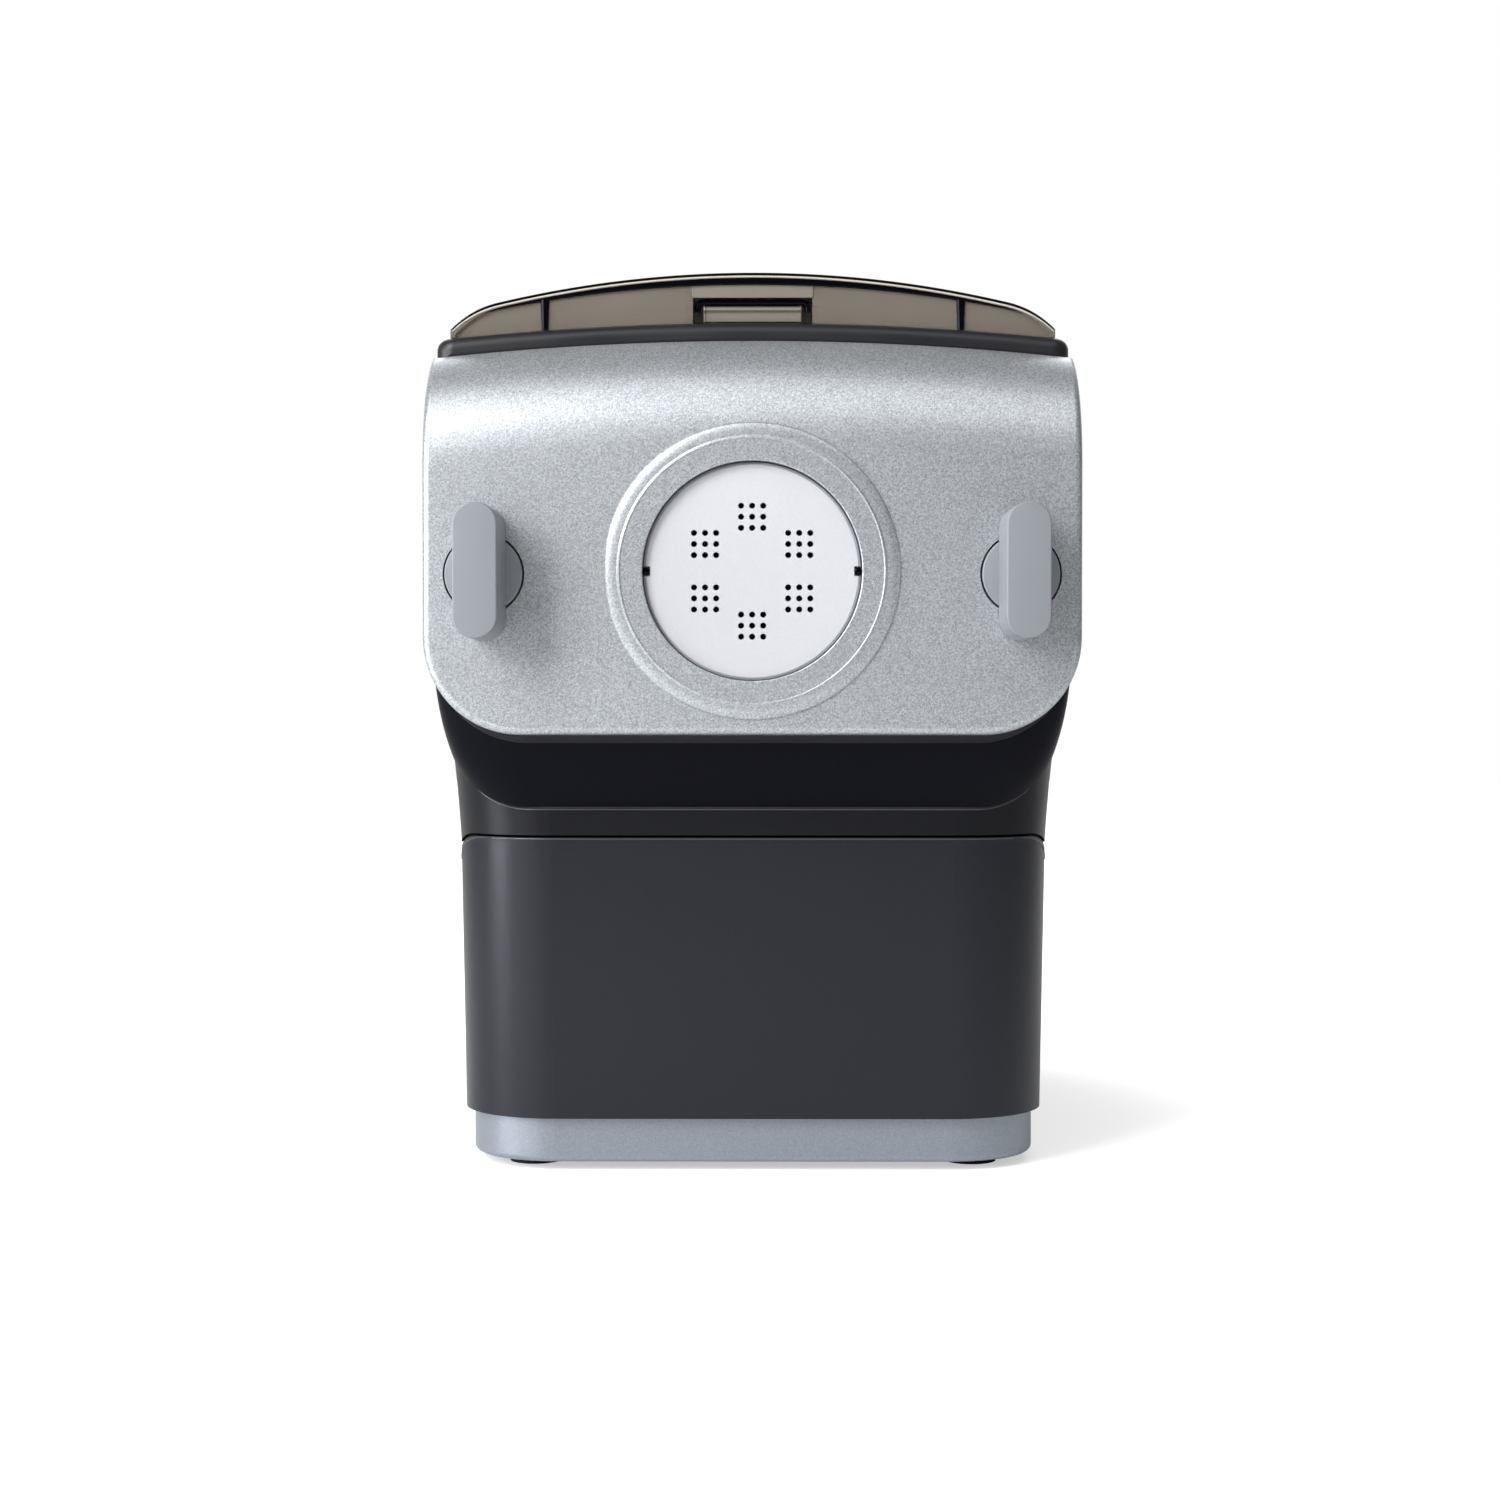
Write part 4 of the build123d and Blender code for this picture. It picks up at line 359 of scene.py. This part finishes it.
# metals, each with the marks of how it was worked: a 3 mm pattern, squeezed along y on turned, drawn and
# stacked pieces into lines 0.05 to 0.2 mm apart
metals = {
    # name: base colour, roughness, squeeze of the marks in x y z, depth
    "zincPlatedSteel": ("b9bcc0", 0.30, (1, 14, 1), 0.10),
    "dieCastAluminium": ("aeb0b2", 0.52, (1, 1, 1), 0.35),
    "laminatedIron": ("55565a", 0.50, (1, 60, 1), 0.40),
    "enamelledCopper": ("b4673a", 0.28, (1, 24, 1), 0.45),
    "sinteredBronze": ("a8804a", 0.50, (1, 1, 1), 0.30),
}
toolMarks = {"scale": 330.0, "relief": 0.0001, "smoother": 0.08, "rougher": 0.12, "tone": (0.88, 1.1)}


def workedMetal(name):
    colour, roughness, squeeze, depth = metals[name]
    material, tree, shader, place = newFinish(name, {"Metallic": 1.0})
    drawn = addNode(tree, "ShaderNodeMapping", {"Scale": squeeze}, {"Vector": place})
    marks = addNode(tree, "ShaderNodeTexNoise", {"Scale": toolMarks["scale"], "Detail": 4.0},
                    {"Vector": drawn.outputs[0]})
    addNode(tree, "ShaderNodeMapRange",
            {"To Min": roughness - toolMarks["smoother"], "To Max": roughness + toolMarks["rougher"]},
            {"Value": marks.outputs[0]}, shader.inputs["Roughness"])
    tintBy(tree, shader, marks.outputs[0], colour, *toolMarks["tone"])
    addNode(tree, "ShaderNodeBump", {"Strength": depth, "Distance": toolMarks["relief"]},
            {"Height": marks.outputs[0]}, shader.inputs["Normal"])
    return material


# the record's slots with the finish that each one gets, and the shades that only one or two pieces have; of
# these, the housing's and the scoop's are painted shade, and the edge cords' and the lid rim's are painted
# highlight
finishOf = {
    "silver_paint": "metallicLacquerSilver", "drawer_paint": "metallicLacquerCharcoal",
    "button_silver": "metallicLacquerButton", "dark_gloss": "polishedAbsBlack",
    "dark_plastic": "grainedAbsCharcoal", "knob_grey": "grainedAbsGrey", "die_white": "acetalWhite",
    "pale_plastic": "acetalPale", "smoke_clear": "smokedSan", "clear_plastic": "waterClearSan",
    "gear_nylon": "nylonNatural", "black_rubber": "rubberBlack", "grey_rubber": "siliconeGrey",
    "board_green": "solderMaskGreen", "steel": "zincPlatedSteel", "alloy": "dieCastAluminium",
    "lamination": "laminatedIron", "copper": "enamelledCopper", "bronze": "sinteredBronze",
    "base_paint": "metallicLacquerBase", "housing_painted_shade": "housingLacquerPaintedShade",
    "scoop_painted_shade": "scoopLacquerPaintedShade", "edge_painted_highlight": "edgeLacquerPaintedHighlight",
    "smoke_pale": "smokedSanPale", "rim_painted_glint": "paleRimPaintedGlint",
}
# the housing and the scoop get darker, duller copies of the charcoal lacquer: painted shade
ownPaint = {"base_pan": "base_paint", "main_housing": "housing_painted_shade", "front_collar": "scoop_painted_shade"}


def mixFinishes():
    makers = ((lacquers, sprayedLacquer), (moulded, mouldedPlastic), (clearSan, clearPlastic),
              (metals, workedMetal))
    made = {name: make(name) for looks, make in makers for name in looks}
    return {slot: made[name] for slot, name in finishOf.items()}


def dressNodes():
    for part in frame["record"]["subparts"]:
        node = frame["nodes"][part["node"]]
        finish = finishes[ownPaint.get(part["node"], part["material_slot"])]
        if not node.material_slots:
            node.data.materials.append(finish)
        for slot in node.material_slots:
            slot.material = finish


setCamera()
buildRoom()
buildFloor()
print("camera, room and floor set")
finishes = mixFinishes()
dressNodes()
print("finishes on", len(frame["nodes"]), "nodes")


mergeDistance = 1e-6    # metres


def makePiece(name, shape, finish, body, smooth=40):
    # a mesh in metres from (points, faces), shaded smooth up to the given angle; its normals point outward,
    # but inward on the three pieces with rolledEnds()
    points, faces = shape
    mesh = bpy.data.meshes.new(name)
    mesh.from_pydata((np.asarray(points) * millimetre).tolist(), [], faces)
    build = bmesh.new()
    build.from_mesh(mesh)
    bmesh.ops.remove_doubles(build, verts=build.verts, dist=mergeDistance)
    bmesh.ops.recalc_face_normals(build, faces=build.faces)
    build.to_mesh(mesh)
    build.free()
    mesh.shade_smooth()
    mesh.set_sharp_from_angle(angle=math.radians(smooth))
    mesh.materials.append(finishes[finish])
    piece = bpy.data.objects.new(name, mesh)
    bpy.context.scene.collection.objects.link(piece)
    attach(piece, body)
    return piece


poleRadius = 0.0005     # where a turned profile starts: its ring is merged into one or two points


def turned(profile, centreZ, steps, centreX=0.0):
    # a closed profile of (radius, y) turned about an axis along y: (cx + r cos a, y, cz + r sin a)
    profile = np.asarray(profile)
    angles = np.linspace(0, 2 * math.pi, steps, endpoint=False)
    radius, along = profile[None, :, 0], profile[None, :, 1]
    points = np.stack(np.broadcast_arrays(centreX + radius * np.cos(angles)[:, None], along,
                                          centreZ + radius * np.sin(angles)[:, None]), -1)
    return points.reshape(-1, 3), gridFaces(steps, len(profile), True, True)


def closedTube(rings):
    # rings of points joined row to row, with each end closed to the middle of its ring
    rows, count = rings.shape[:2]
    points = np.vstack([rings.reshape(-1, 3), rings[0].mean(0)[None], rings[-1].mean(0)[None]])
    middle, last = rows * count, (rows - 1) * count
    caps = [(middle, (i + 1) % count, i) for i in range(count)]
    caps += [(middle + 1, last + i, last + (i + 1) % count) for i in range(count)]
    return points, gridFaces(rows, count, False, True) + caps


def bead(path, radius, sides=12):
    # a round cord along a path: p(t) + r(t) (cos a * side + sin a * other), side being y made square to it
    path = np.asarray(path, float)
    along = np.gradient(path, axis=0)
    along /= np.linalg.norm(along, axis=1)[:, None]
    side = np.array((0.0, 1.0, 0.0)) - along[:, 1:2] * along
    side /= np.linalg.norm(side, axis=1)[:, None]
    other = np.cross(along, side)
    radius = np.broadcast_to(np.asarray(radius, float), (len(path),))[:, None, None]
    angles = np.linspace(0, 2 * math.pi, sides, endpoint=False)[None, :, None]
    section = np.cos(angles) * side[:, None] + np.sin(angles) * other[:, None]
    return closedTube(path[:, None] + radius * section)


def arc(middle, radius, start, end, steps):
    # points of a circle, middle + radius (cos a, sin a), from the start to the end angle in degrees
    angles = np.radians(np.linspace(start, end, steps))
    return np.stack([middle[0] + radius * np.cos(angles), middle[1] + radius * np.sin(angles)], 1)


def mirrored(arm, steps):
    # a line from its left arm: the arm, a straight run to its mirror image, and that image backwards
    flip = np.array([-1.0] + [1.0] * (arm.shape[1] - 1))
    run = np.linspace(arm[-1], arm[-1] * flip, steps)[1:-1]
    return np.vstack([arm, run, arm[::-1] * flip])


# places that several pieces share
discLow, discHigh = corners("shaping_disc")
axisZ = (discLow[2] + discHigh[2]) / 2      # height of the extrusion axis
faceY = corners("front_panel")[0][1]        # face of the silver panel


# raised trim round the disc: lip, flat, a thin bead, and a slope down to the panel
nozzleTrim = {
    "proud": 0.4,           # how far its outer edge stands past the CAD ring
    "boreInset": 12.0, "lipInset": 12.65, "beadInset": 5.1, "seatInset": 3.5,      # inward from that edge
    "flatRise": 1.6, "lipDepth": 1.1, "lipEdge": 0.2,
    "holdInner": 0.5, "holdOuter": 0.3,     # places of two more rings that keep the flat flat
    "beadWidth": 0.42, "beadRise": 0.3, "beadSteps": 13,
    "slopeRise": 1.45, "slopePower": 2.4, "slopeSteps": 28,
    "seatSink": 0.02, "steps": 192,
}


def trimProfile(outer, rearY):
    # closed outline of (radius, y): bore, lip, flat, a half-round bead, then a slope like a quarter of an
    # oval: height = slopeRise * (1 - u^p)^(1 / p), from the bead (u = 0) to the panel (u = 1)
    trim = nozzleTrim
    bore, lip = outer - trim["boreInset"], outer - trim["lipInset"]
    ridge, seat = outer - trim["beadInset"], outer - trim["seatInset"]
    bed, foot = faceY - trim["flatRise"], faceY + trim["seatSink"]
    turn = np.linspace(math.pi, 0.0, trim["beadSteps"])
    rib = np.stack([ridge + trim["beadWidth"] * np.cos(turn), bed - trim["beadRise"] * np.sin(turn)], 1)
    power = trim["slopePower"]
    u = np.sin(np.linspace(0, math.pi / 2, trim["slopeSteps"])[1:])
    slope = np.stack([rib[-1, 0] + (outer - rib[-1, 0]) * u,
                      faceY - trim["slopeRise"] * np.clip(1 - u ** power, 0, 1) ** (1 / power)], 1)
    start = [(bore, rearY), (bore, bed + trim["lipDepth"]), (lip, bed + trim["lipDepth"]),
             (lip, bed + trim["lipEdge"]), (lip + trim["lipEdge"], bed), (lip + trim["holdInner"], bed),
             (rib[0, 0] - trim["holdOuter"], bed)]
    return np.vstack([start, rib, slope, [(outer, foot), (seat, foot), (seat, rearY)]])


def buildNozzleTrim():
    ringHigh = corners("nozzle_ring")[1]
    profile = trimProfile(ringHigh[0] + nozzleTrim["proud"], ringHigh[1])
    shape = turned(profile, axisZ, nozzleTrim["steps"])
    piece = makePiece("nozzleTrim", shape, "silver_paint", "panel", smooth=50)
    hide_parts("nozzle_ring")


# two black key pins that fill the disc's notches
diePin = {
    "inset": 3.6, "sink": 0.05,     # from the disc's side and face
    "radius": 1.25, "length": 2.85, "edge": 0.35, "edgeBulge": 0.3, "steps": 32,
}


def buildDiePins():
    # a short rod along y whose front edge is rounded in two steps
    radius, edge = diePin["radius"], diePin["edge"]
    bulge = edge * diePin["edgeBulge"]
    front = discLow[1] + diePin["sink"]
    rear = front + diePin["length"]
    profile = [(poleRadius, rear), (radius, rear), (radius, front + edge), (radius - bulge, front + bulge),
               (radius - edge, front), (poleRadius, front)]
    for side, label in ((-1, "Left"), (1, "Right")):
        shape = turned(profile, axisZ, diePin["steps"], side * (discHigh[0] - diePin["inset"]))
        makePiece("diePin" + label, shape, "dark_gloss", "die")


buildNozzleTrim()
buildDiePins()
print("nozzle trim and die pins made")


def skinTree(node):
    # a search tree over the surface of a CAD node
    mesh = frame["nodes"][node].data
    return BVHTree.FromPolygons([vertex.co.copy() for vertex in mesh.vertices],
                                [tuple(polygon.vertices) for polygon in mesh.polygons])


def onSkin(tree, outline, startY=-300):
    # each (x, z) of an outline, carried straight back from in front of the machine until it meets the skin
    hits = [tree.ray_cast(Vector((x, startY, z)) * millimetre, Vector((0, 1, 0)))[0] for x, z in outline]
    return np.array([[x, hit.y / millimetre, z] for (x, z), hit in zip(outline, hits) if hit])


# joint between the scoop and the body: a dark hair joint, and beneath it a cord on the body's edge in a
# lighter lacquer than the body, so its bright edge is part real highlight, part painted highlight
scoop = {
    "inset": 3.0, "rise": 32.0,     # of the outline, in from the CAD collar's side and up from its foot
    "corner": 27.0,
    "jointOffset": 0.25, "jointRadius": 0.45, "edgeOffset": 0.85, "edgeRadius": 0.24,
    "sideSteps": 5, "cornerSteps": 14, "footSteps": 30,
}

# the drawer's own top edge, rolled slightly so that it catches the light, in the lighter edge lacquer: part
# real highlight, part painted highlight
drawer = {
    "half": 102.2, "corner": 9.0, "inset": 0.45, "edgeRadius": 0.24, "cornerSteps": 10, "topSteps": 30,
}


def scoopOutline(offset):
    # down the left side, round the corner, along the foot and up the right side, moved outward by offset
    low, high = corners("front_collar")
    half, foot, corner = high[0] - scoop["inset"], low[2], scoop["corner"]
    level = np.linspace(foot + scoop["rise"], foot + corner, scoop["sideSteps"])[:-1]
    side = np.stack([np.full_like(level, -half - offset), level], 1)
    turn = arc((corner - half, foot + corner), corner + offset, 180, 270, scoop["cornerSteps"])
    return mirrored(np.vstack([side, turn]), scoop["footSteps"])


def drawerOutline():
    # from the left shoulder over its round corner, along the top and down the right shoulder
    top, corner = corners("drawer_front")[1][2], drawer["corner"]
    turn = arc((corner - drawer["half"], top - corner), corner - drawer["inset"], 180, 90,
               drawer["cornerSteps"])
    return mirrored(turn, drawer["topSteps"])


def buildEdges():
    housing = skinTree("main_housing")
    joint = onSkin(housing, scoopOutline(scoop["jointOffset"]))
    makePiece("scoopJoint", bead(joint, scoop["jointRadius"]), "black_rubber", "machine")
    # the cords on the body's and the drawer's edges are in the lighter edge lacquer: part real, part painted
    # highlight
    edge = onSkin(housing, scoopOutline(scoop["edgeOffset"]))
    makePiece("bodyEdge", bead(edge, scoop["edgeRadius"]), "edge_painted_highlight", "machine")
    rolled = onSkin(skinTree("drawer_front"), drawerOutline())
    makePiece("drawerEdge", bead(rolled, drawer["edgeRadius"]), "edge_painted_highlight", "drawer")
    print("joints and edges made:", len(joint), len(edge), len(rolled), "points")


buildEdges()


# lid: a dark band of painted shade under the crown's front edge, two ribs behind the wall, and two fine
# lines along the rim, the pale one a painted glint
lidTrim = {
    "crownRadius": 375.0, "shoulder": 16.0, "rimFall": 19.0,    # the crown's arcs, as the CAD lid has them
    "bandInset": 5.0, "bandDrop": 1.5, "bandHeight": 2.1, "bandEnd": 0.3, "bandTaper": 1.7,
    "bandBack": 1.2, "bandDepth": 1.0, "bandSquare": 0.5, "bandSteps": 97, "bandSides": 16,
    "ribInset": 2.8, "ribFoot": 2.4, "ribHead": 3.3, "ribBack": (0.1, 6.2), "ribDrop": 2.2,
    "ribRise": 0.5, "ribSquare": 0.55, "ribSteps": 9, "ribSides": 20,
    "deckFall": 17.0, "deckRadius": 1000.0,                     # the deck's arch, under the ribs' feet
    "lineInset": 0.5, "lineTaper": 9.5, "lineEnd": 0.5, "lineSteps": 121,
    "lines": {
        # name: drop below the crown, radius, how far back, finish, slot
        # the pale cord is a painted glint along the rim
        "lidRimPaintedGlint": (1.15, 0.32, 0.05, "rim_painted_glint", "pale_plastic"),
        "lidRimLine": (0.35, 0.46, 0.1, "dark_gloss", "dark_gloss"),
    },
}
lidLow, lidHigh = corners("lid_shell")


def crownLine(x):
    # height of the crown's edge: a long arc of radius crownRadius, then a tangent arc down to the rim
    x = np.abs(np.asarray(x, float))
    radius, side, top = lidTrim["crownRadius"], lidHigh[0], lidHigh[2]
    shoulder = side - lidTrim["shoulder"]
    longArc = top - radius + np.sqrt(radius ** 2 - np.minimum(x, shoulder) ** 2)
    lean = math.asin(shoulder / radius)
    start = np.array([shoulder, top - radius * (1 - math.cos(lean))])
    chord = np.array([side, top - lidTrim["rimFall"]]) - start
    inward = np.array([-math.sin(lean), -math.cos(lean)])
    tight = chord @ chord / (2 * chord @ inward)
    centre = start + tight * inward
    shortArc = centre[1] + np.sqrt(np.maximum(tight ** 2 - (x - centre[0]) ** 2, 0))
    return np.where(x <= shoulder, longArc, shortArc)


def squarer(wave, power):
    # a sine or cosine pushed towards 1 and -1, which turns a circle into a rounded box
    return np.sign(wave) * np.abs(wave) ** power


def crownPaintedShade():
    # painted shade: a black strip hung under the crown, where its overhang shades the wall; at each x a
    # rounded box whose height tapers towards both ends
    reach, depth = lidHigh[0] - lidTrim["bandInset"], lidTrim["bandDepth"]
    x = np.linspace(-reach, reach, lidTrim["bandSteps"])
    fullness = np.clip(1 - np.abs(x / reach) ** lidTrim["bandTaper"], 0, 1)
    height = lidTrim["bandEnd"] + lidTrim["bandHeight"] * fullness
    middle = crownLine(x) - lidTrim["bandDrop"] - height / 2
    angles = np.linspace(0, 2 * math.pi, lidTrim["bandSides"], endpoint=False)
    square = lidTrim["bandSquare"]
    y = lidLow[1] + lidTrim["bandBack"] - depth / 2 + depth / 2 * squarer(np.cos(angles), square)
    z = middle[:, None] + height[:, None] / 2 * squarer(np.sin(angles), square)
    return closedTube(np.stack(np.broadcast_arrays(x[:, None], y[None, :], z), -1))


def lidRib(side):
    # a tapered upright: rounded-box sections from the deck's arch to the crown, wider at the top
    reach = corners("lid_frame")[1][0] - lidTrim["ribInset"]
    top = float(crownLine(reach)) - lidTrim["ribDrop"]
    base = lidHigh[2] - lidTrim["deckFall"] - reach ** 2 / 2 / lidTrim["deckRadius"] + lidTrim["ribRise"]
    z = np.linspace(base, top, lidTrim["ribSteps"])
    half = np.interp(z, [base, top], [lidTrim["ribFoot"] / 2, lidTrim["ribHead"] / 2])
    front, rear = (lidLow[1] + back for back in lidTrim["ribBack"])
    angles = np.linspace(0, 2 * math.pi, lidTrim["ribSides"], endpoint=False)
    square = lidTrim["ribSquare"]
    x = side * reach + half[:, None] * squarer(np.cos(angles), square)
    y = (front + rear) / 2 + (rear - front) / 2 * squarer(np.sin(angles), square)
    return closedTube(np.stack(np.broadcast_arrays(x, y[None, :], z[:, None]), -1))


def rimLine(drop, radius, back):
    # a fine cord along the crown's front edge, half as thick at its ends
    reach = lidHigh[0] - lidTrim["lineInset"]
    x = np.linspace(-reach, reach, lidTrim["lineSteps"])
    path = np.stack([x, np.full_like(x, lidLow[1] + back), crownLine(x) - drop], 1)
    taper = np.interp(np.abs(x), [reach - lidTrim["lineTaper"], reach], [1, lidTrim["lineEnd"]])
    return bead(path, radius * taper)


def buildLidTrim():
    makePiece("lidCrownPaintedShade", crownPaintedShade(), "dark_gloss", "lid")
    for side, label in ((-1, "Left"), (1, "Right")):
        makePiece("lidRib" + label, lidRib(side), "dark_gloss", "lid")
    for name, (drop, radius, back, finish, slot) in lidTrim["lines"].items():
        makePiece(name, rimLine(drop, radius, back), finish, "lid")


buildLidTrim()
print("lid band, rim and ribs made")


def insetRing(outline, inset):
    # every point of a closed outline moved inward along its normal; the outline runs anticlockwise
    along = np.roll(outline, -1, 0) - np.roll(outline, 1, 0)
    along /= np.linalg.norm(along, axis=1)[:, None]
    return outline + inset * np.stack([-along[:, 1], along[:, 0]], 1)


def prism(outline, levels, axis):
    # an outline carried along one axis through (place, inset) levels, its two ends closed to their middles
    return closedTube(np.array([np.insert(insetRing(outline, inset), axis, place, axis=1)
                                for place, inset in levels]))


def roundedBox(half, middle, corner, steps=6):
    # anticlockwise outline of a rectangle with round corners, as two coordinates
    centres = [(middle[0] + across * (half[0] - corner), middle[1] + up * (half[1] - corner))
               for across, up in ((1, 1), (-1, 1), (-1, -1), (1, -1))]
    return np.vstack([arc(centre, corner, 90 * quarter, 90 * quarter + 90, steps)
                      for quarter, centre in enumerate(centres)])


def rolledEnds(start, end, radius, steps=5):
    # levels for prism(): the outline, narrowed by the radius, runs from end to end, with a rolled rim of the
    # full outline round each end; the end faces lie one radius in, so the surface crosses itself there
    turn = np.linspace(0, math.pi / 2, steps)
    rim = [(start + radius * (1 - math.sin(a)), radius * (1 - math.cos(a))) for a in turn]
    return rim + [(start + end - place, inset) for place, inset in rim[::-1]]


# clamp knobs: a round boss in the panel and a tall grip with a crisp rolled edge and a little draft
knob = {
    "bossRadius": 12.65, "bossRise": 2.1, "bossDepth": 12.8,        # rise and depth from the panel's face
    "bossEdge": 0.5, "edgeSteps": 6, "rearEdge": 0.4,
    "bossCone": 1.1,
    "coneStart": (0.3, 0.04),       # inward from the rolled edge, and forward
    "coneFlat": (6.0, 0.15),        # radius of the cone's flatter middle, and how far it is behind the front
    "gripHalf": (7.3, 21.8), "corner": 7.2, "cornerSteps": 14, "draft": 0.25,
    "gripSink": 1.5, "gripHold": 0.3,       # its foot in the boss, and a ring that keeps its sides flat
    "gripShort": 0.1, "edge": 0.55, "tipSteps": 7, "steps": 96,
}


def bossProfile():
    # closed outline of (radius, y): a drum with a rounded front edge and a shallow cone on its face
    radius, edge, chamfer = knob["bossRadius"], knob["bossEdge"], knob["rearEdge"]
    front, rear = faceY - knob["bossRise"], faceY + knob["bossDepth"]
    rim = front + knob["bossCone"]
    inward, forward = knob["coneStart"]
    flatRadius, behind = knob["coneFlat"]
    return np.vstack([[(poleRadius, rear), (radius - chamfer, rear), (radius, rear - chamfer)],
                      arc((radius - edge, rim + edge), edge, 0, -90, knob["edgeSteps"]),
                      [(radius - edge - inward, rim - forward), (flatRadius, front + behind),
                       (poleRadius, front)]])


def buildKnob(label, node, body):
    # boss and grip are two shapes in one mesh: the grip is a rounded bar drawn forward to a rolled tip
    low, high = corners(node)
    x, z = (low[0] + high[0]) / 2, (low[2] + high[2]) / 2
    bossPoints, bossFaces = turned(bossProfile(), z, knob["steps"], x)
    bossFront, tip = faceY - knob["bossRise"], low[1] + knob["gripShort"]
    levels = [(bossFront + knob["gripSink"], 0.0), (bossFront + knob["gripHold"], 0.0)]
    levels += [(tip + knob["edge"] * (1 - math.cos(a)), knob["draft"] + knob["edge"] * (1 - math.sin(a)))
               for a in np.linspace(math.pi / 2, 0, knob["tipSteps"])]
    outline = roundedBox(knob["gripHalf"], (x, z), knob["corner"], knob["cornerSteps"])
    gripPoints, gripFaces = prism(outline, levels, 1)
    faces = bossFaces + [tuple(v + len(bossPoints) for v in face) for face in gripFaces]
    shape = np.vstack([bossPoints, gripPoints]), faces
    piece = makePiece("clampKnob" + label, shape, "knob_grey", body, smooth=35)
    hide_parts(node)


buildKnob("Left", "left_knob", "left_clamp")
buildKnob("Right", "right_knob", "right_clamp")
print("knobs made")


# catch: a black bar bent down at both ends over a pale smoked flap, in a pale pocket
catch = {
    # y and z start at the CAD catch's upper rear edge, and insets at its sides
    "barInset": 4.0, "barPlace": (-2.7, -1.4), "barRadius": 1.1, "armDrop": 3.3, "bend": 1.8,
    "bendSteps": 8, "barSteps": 12, "barSides": 20,
    "flapInset": 6.0, "flapRim": 0.4, "flapSteps": 66,
    "flap": [(-2.3, -2.3), (-3.9, -2.6), (-5.1, -3.4), (-5.3, -4.4), (-4.5, -5.2), (-4.1, -6.7),
             (-3.9, -8.0), (-3.4, -8.4), (-2.8, -8.0), (-2.7, -5.8), (-1.8, -3.4)],
    "plates": {
        # name: half width and height, height of the middle, front and rear
        "catchLining": ((20.0, 4.3), -3.4, (1.7, 2.7)),
        "catchFlange": ((20.4, 2.6), 2.35, (-6.18, -5.5)),
    },
    "plateCorner": 0.6, "plateRim": 0.15,
}


def smoothLoop(points, count):
    # a closed loop through the given points: between points b and c, with a before and d after them, the
    # cubic of Catmull and Rom in the share f of the way from b to c
    way = np.linspace(0, len(points), count, endpoint=False)
    whole, f = way.astype(int), (way % 1)[:, None]
    a, b, c, d = (points[(whole + step) % len(points)] for step in (-1, 0, 1, 2))
    square, cube = 2 * a - 5 * b + 4 * c - d, 3 * b - a - 3 * c + d
    return 0.5 * (2 * b + (c - a) * f + square * f ** 2 + cube * f ** 3)


def buildCatch():
    high = corners("lid_catch")[1]
    half, bend = high[0] - catch["barInset"], catch["bend"]
    barY, barZ = high[1:] + catch["barPlace"]
    turn = arc((bend - half, barZ - bend), bend, 180, 90, catch["bendSteps"])
    arm = np.insert(np.vstack([[(-half, barZ - catch["armDrop"])], turn]), 1, barY, axis=1)
    line = mirrored(arm, catch["barSteps"])
    makePiece("catchBar", bead(line, catch["barRadius"], catch["barSides"]), "dark_gloss", "catch")
    reach = high[0] - catch["flapInset"]
    profile = smoothLoop(high[1:] + np.array(catch["flap"]), catch["flapSteps"])
    flap = makePiece("catchFlap", prism(profile, rolledEnds(-reach, reach, catch["flapRim"]), 0),
                     "smoke_pale", "catch")
    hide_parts("lid_catch")
    for name, (size, middle, depth) in catch["plates"].items():
        outline = roundedBox(size, (0.0, high[2] + middle), catch["plateCorner"])
        front, rear = (high[1] + place for place in depth)
        makePiece(name, prism(outline, rolledEnds(front, rear, catch["plateRim"]), 1),
                  "smoke_pale", "lid")


buildCatch()
print("catch made")
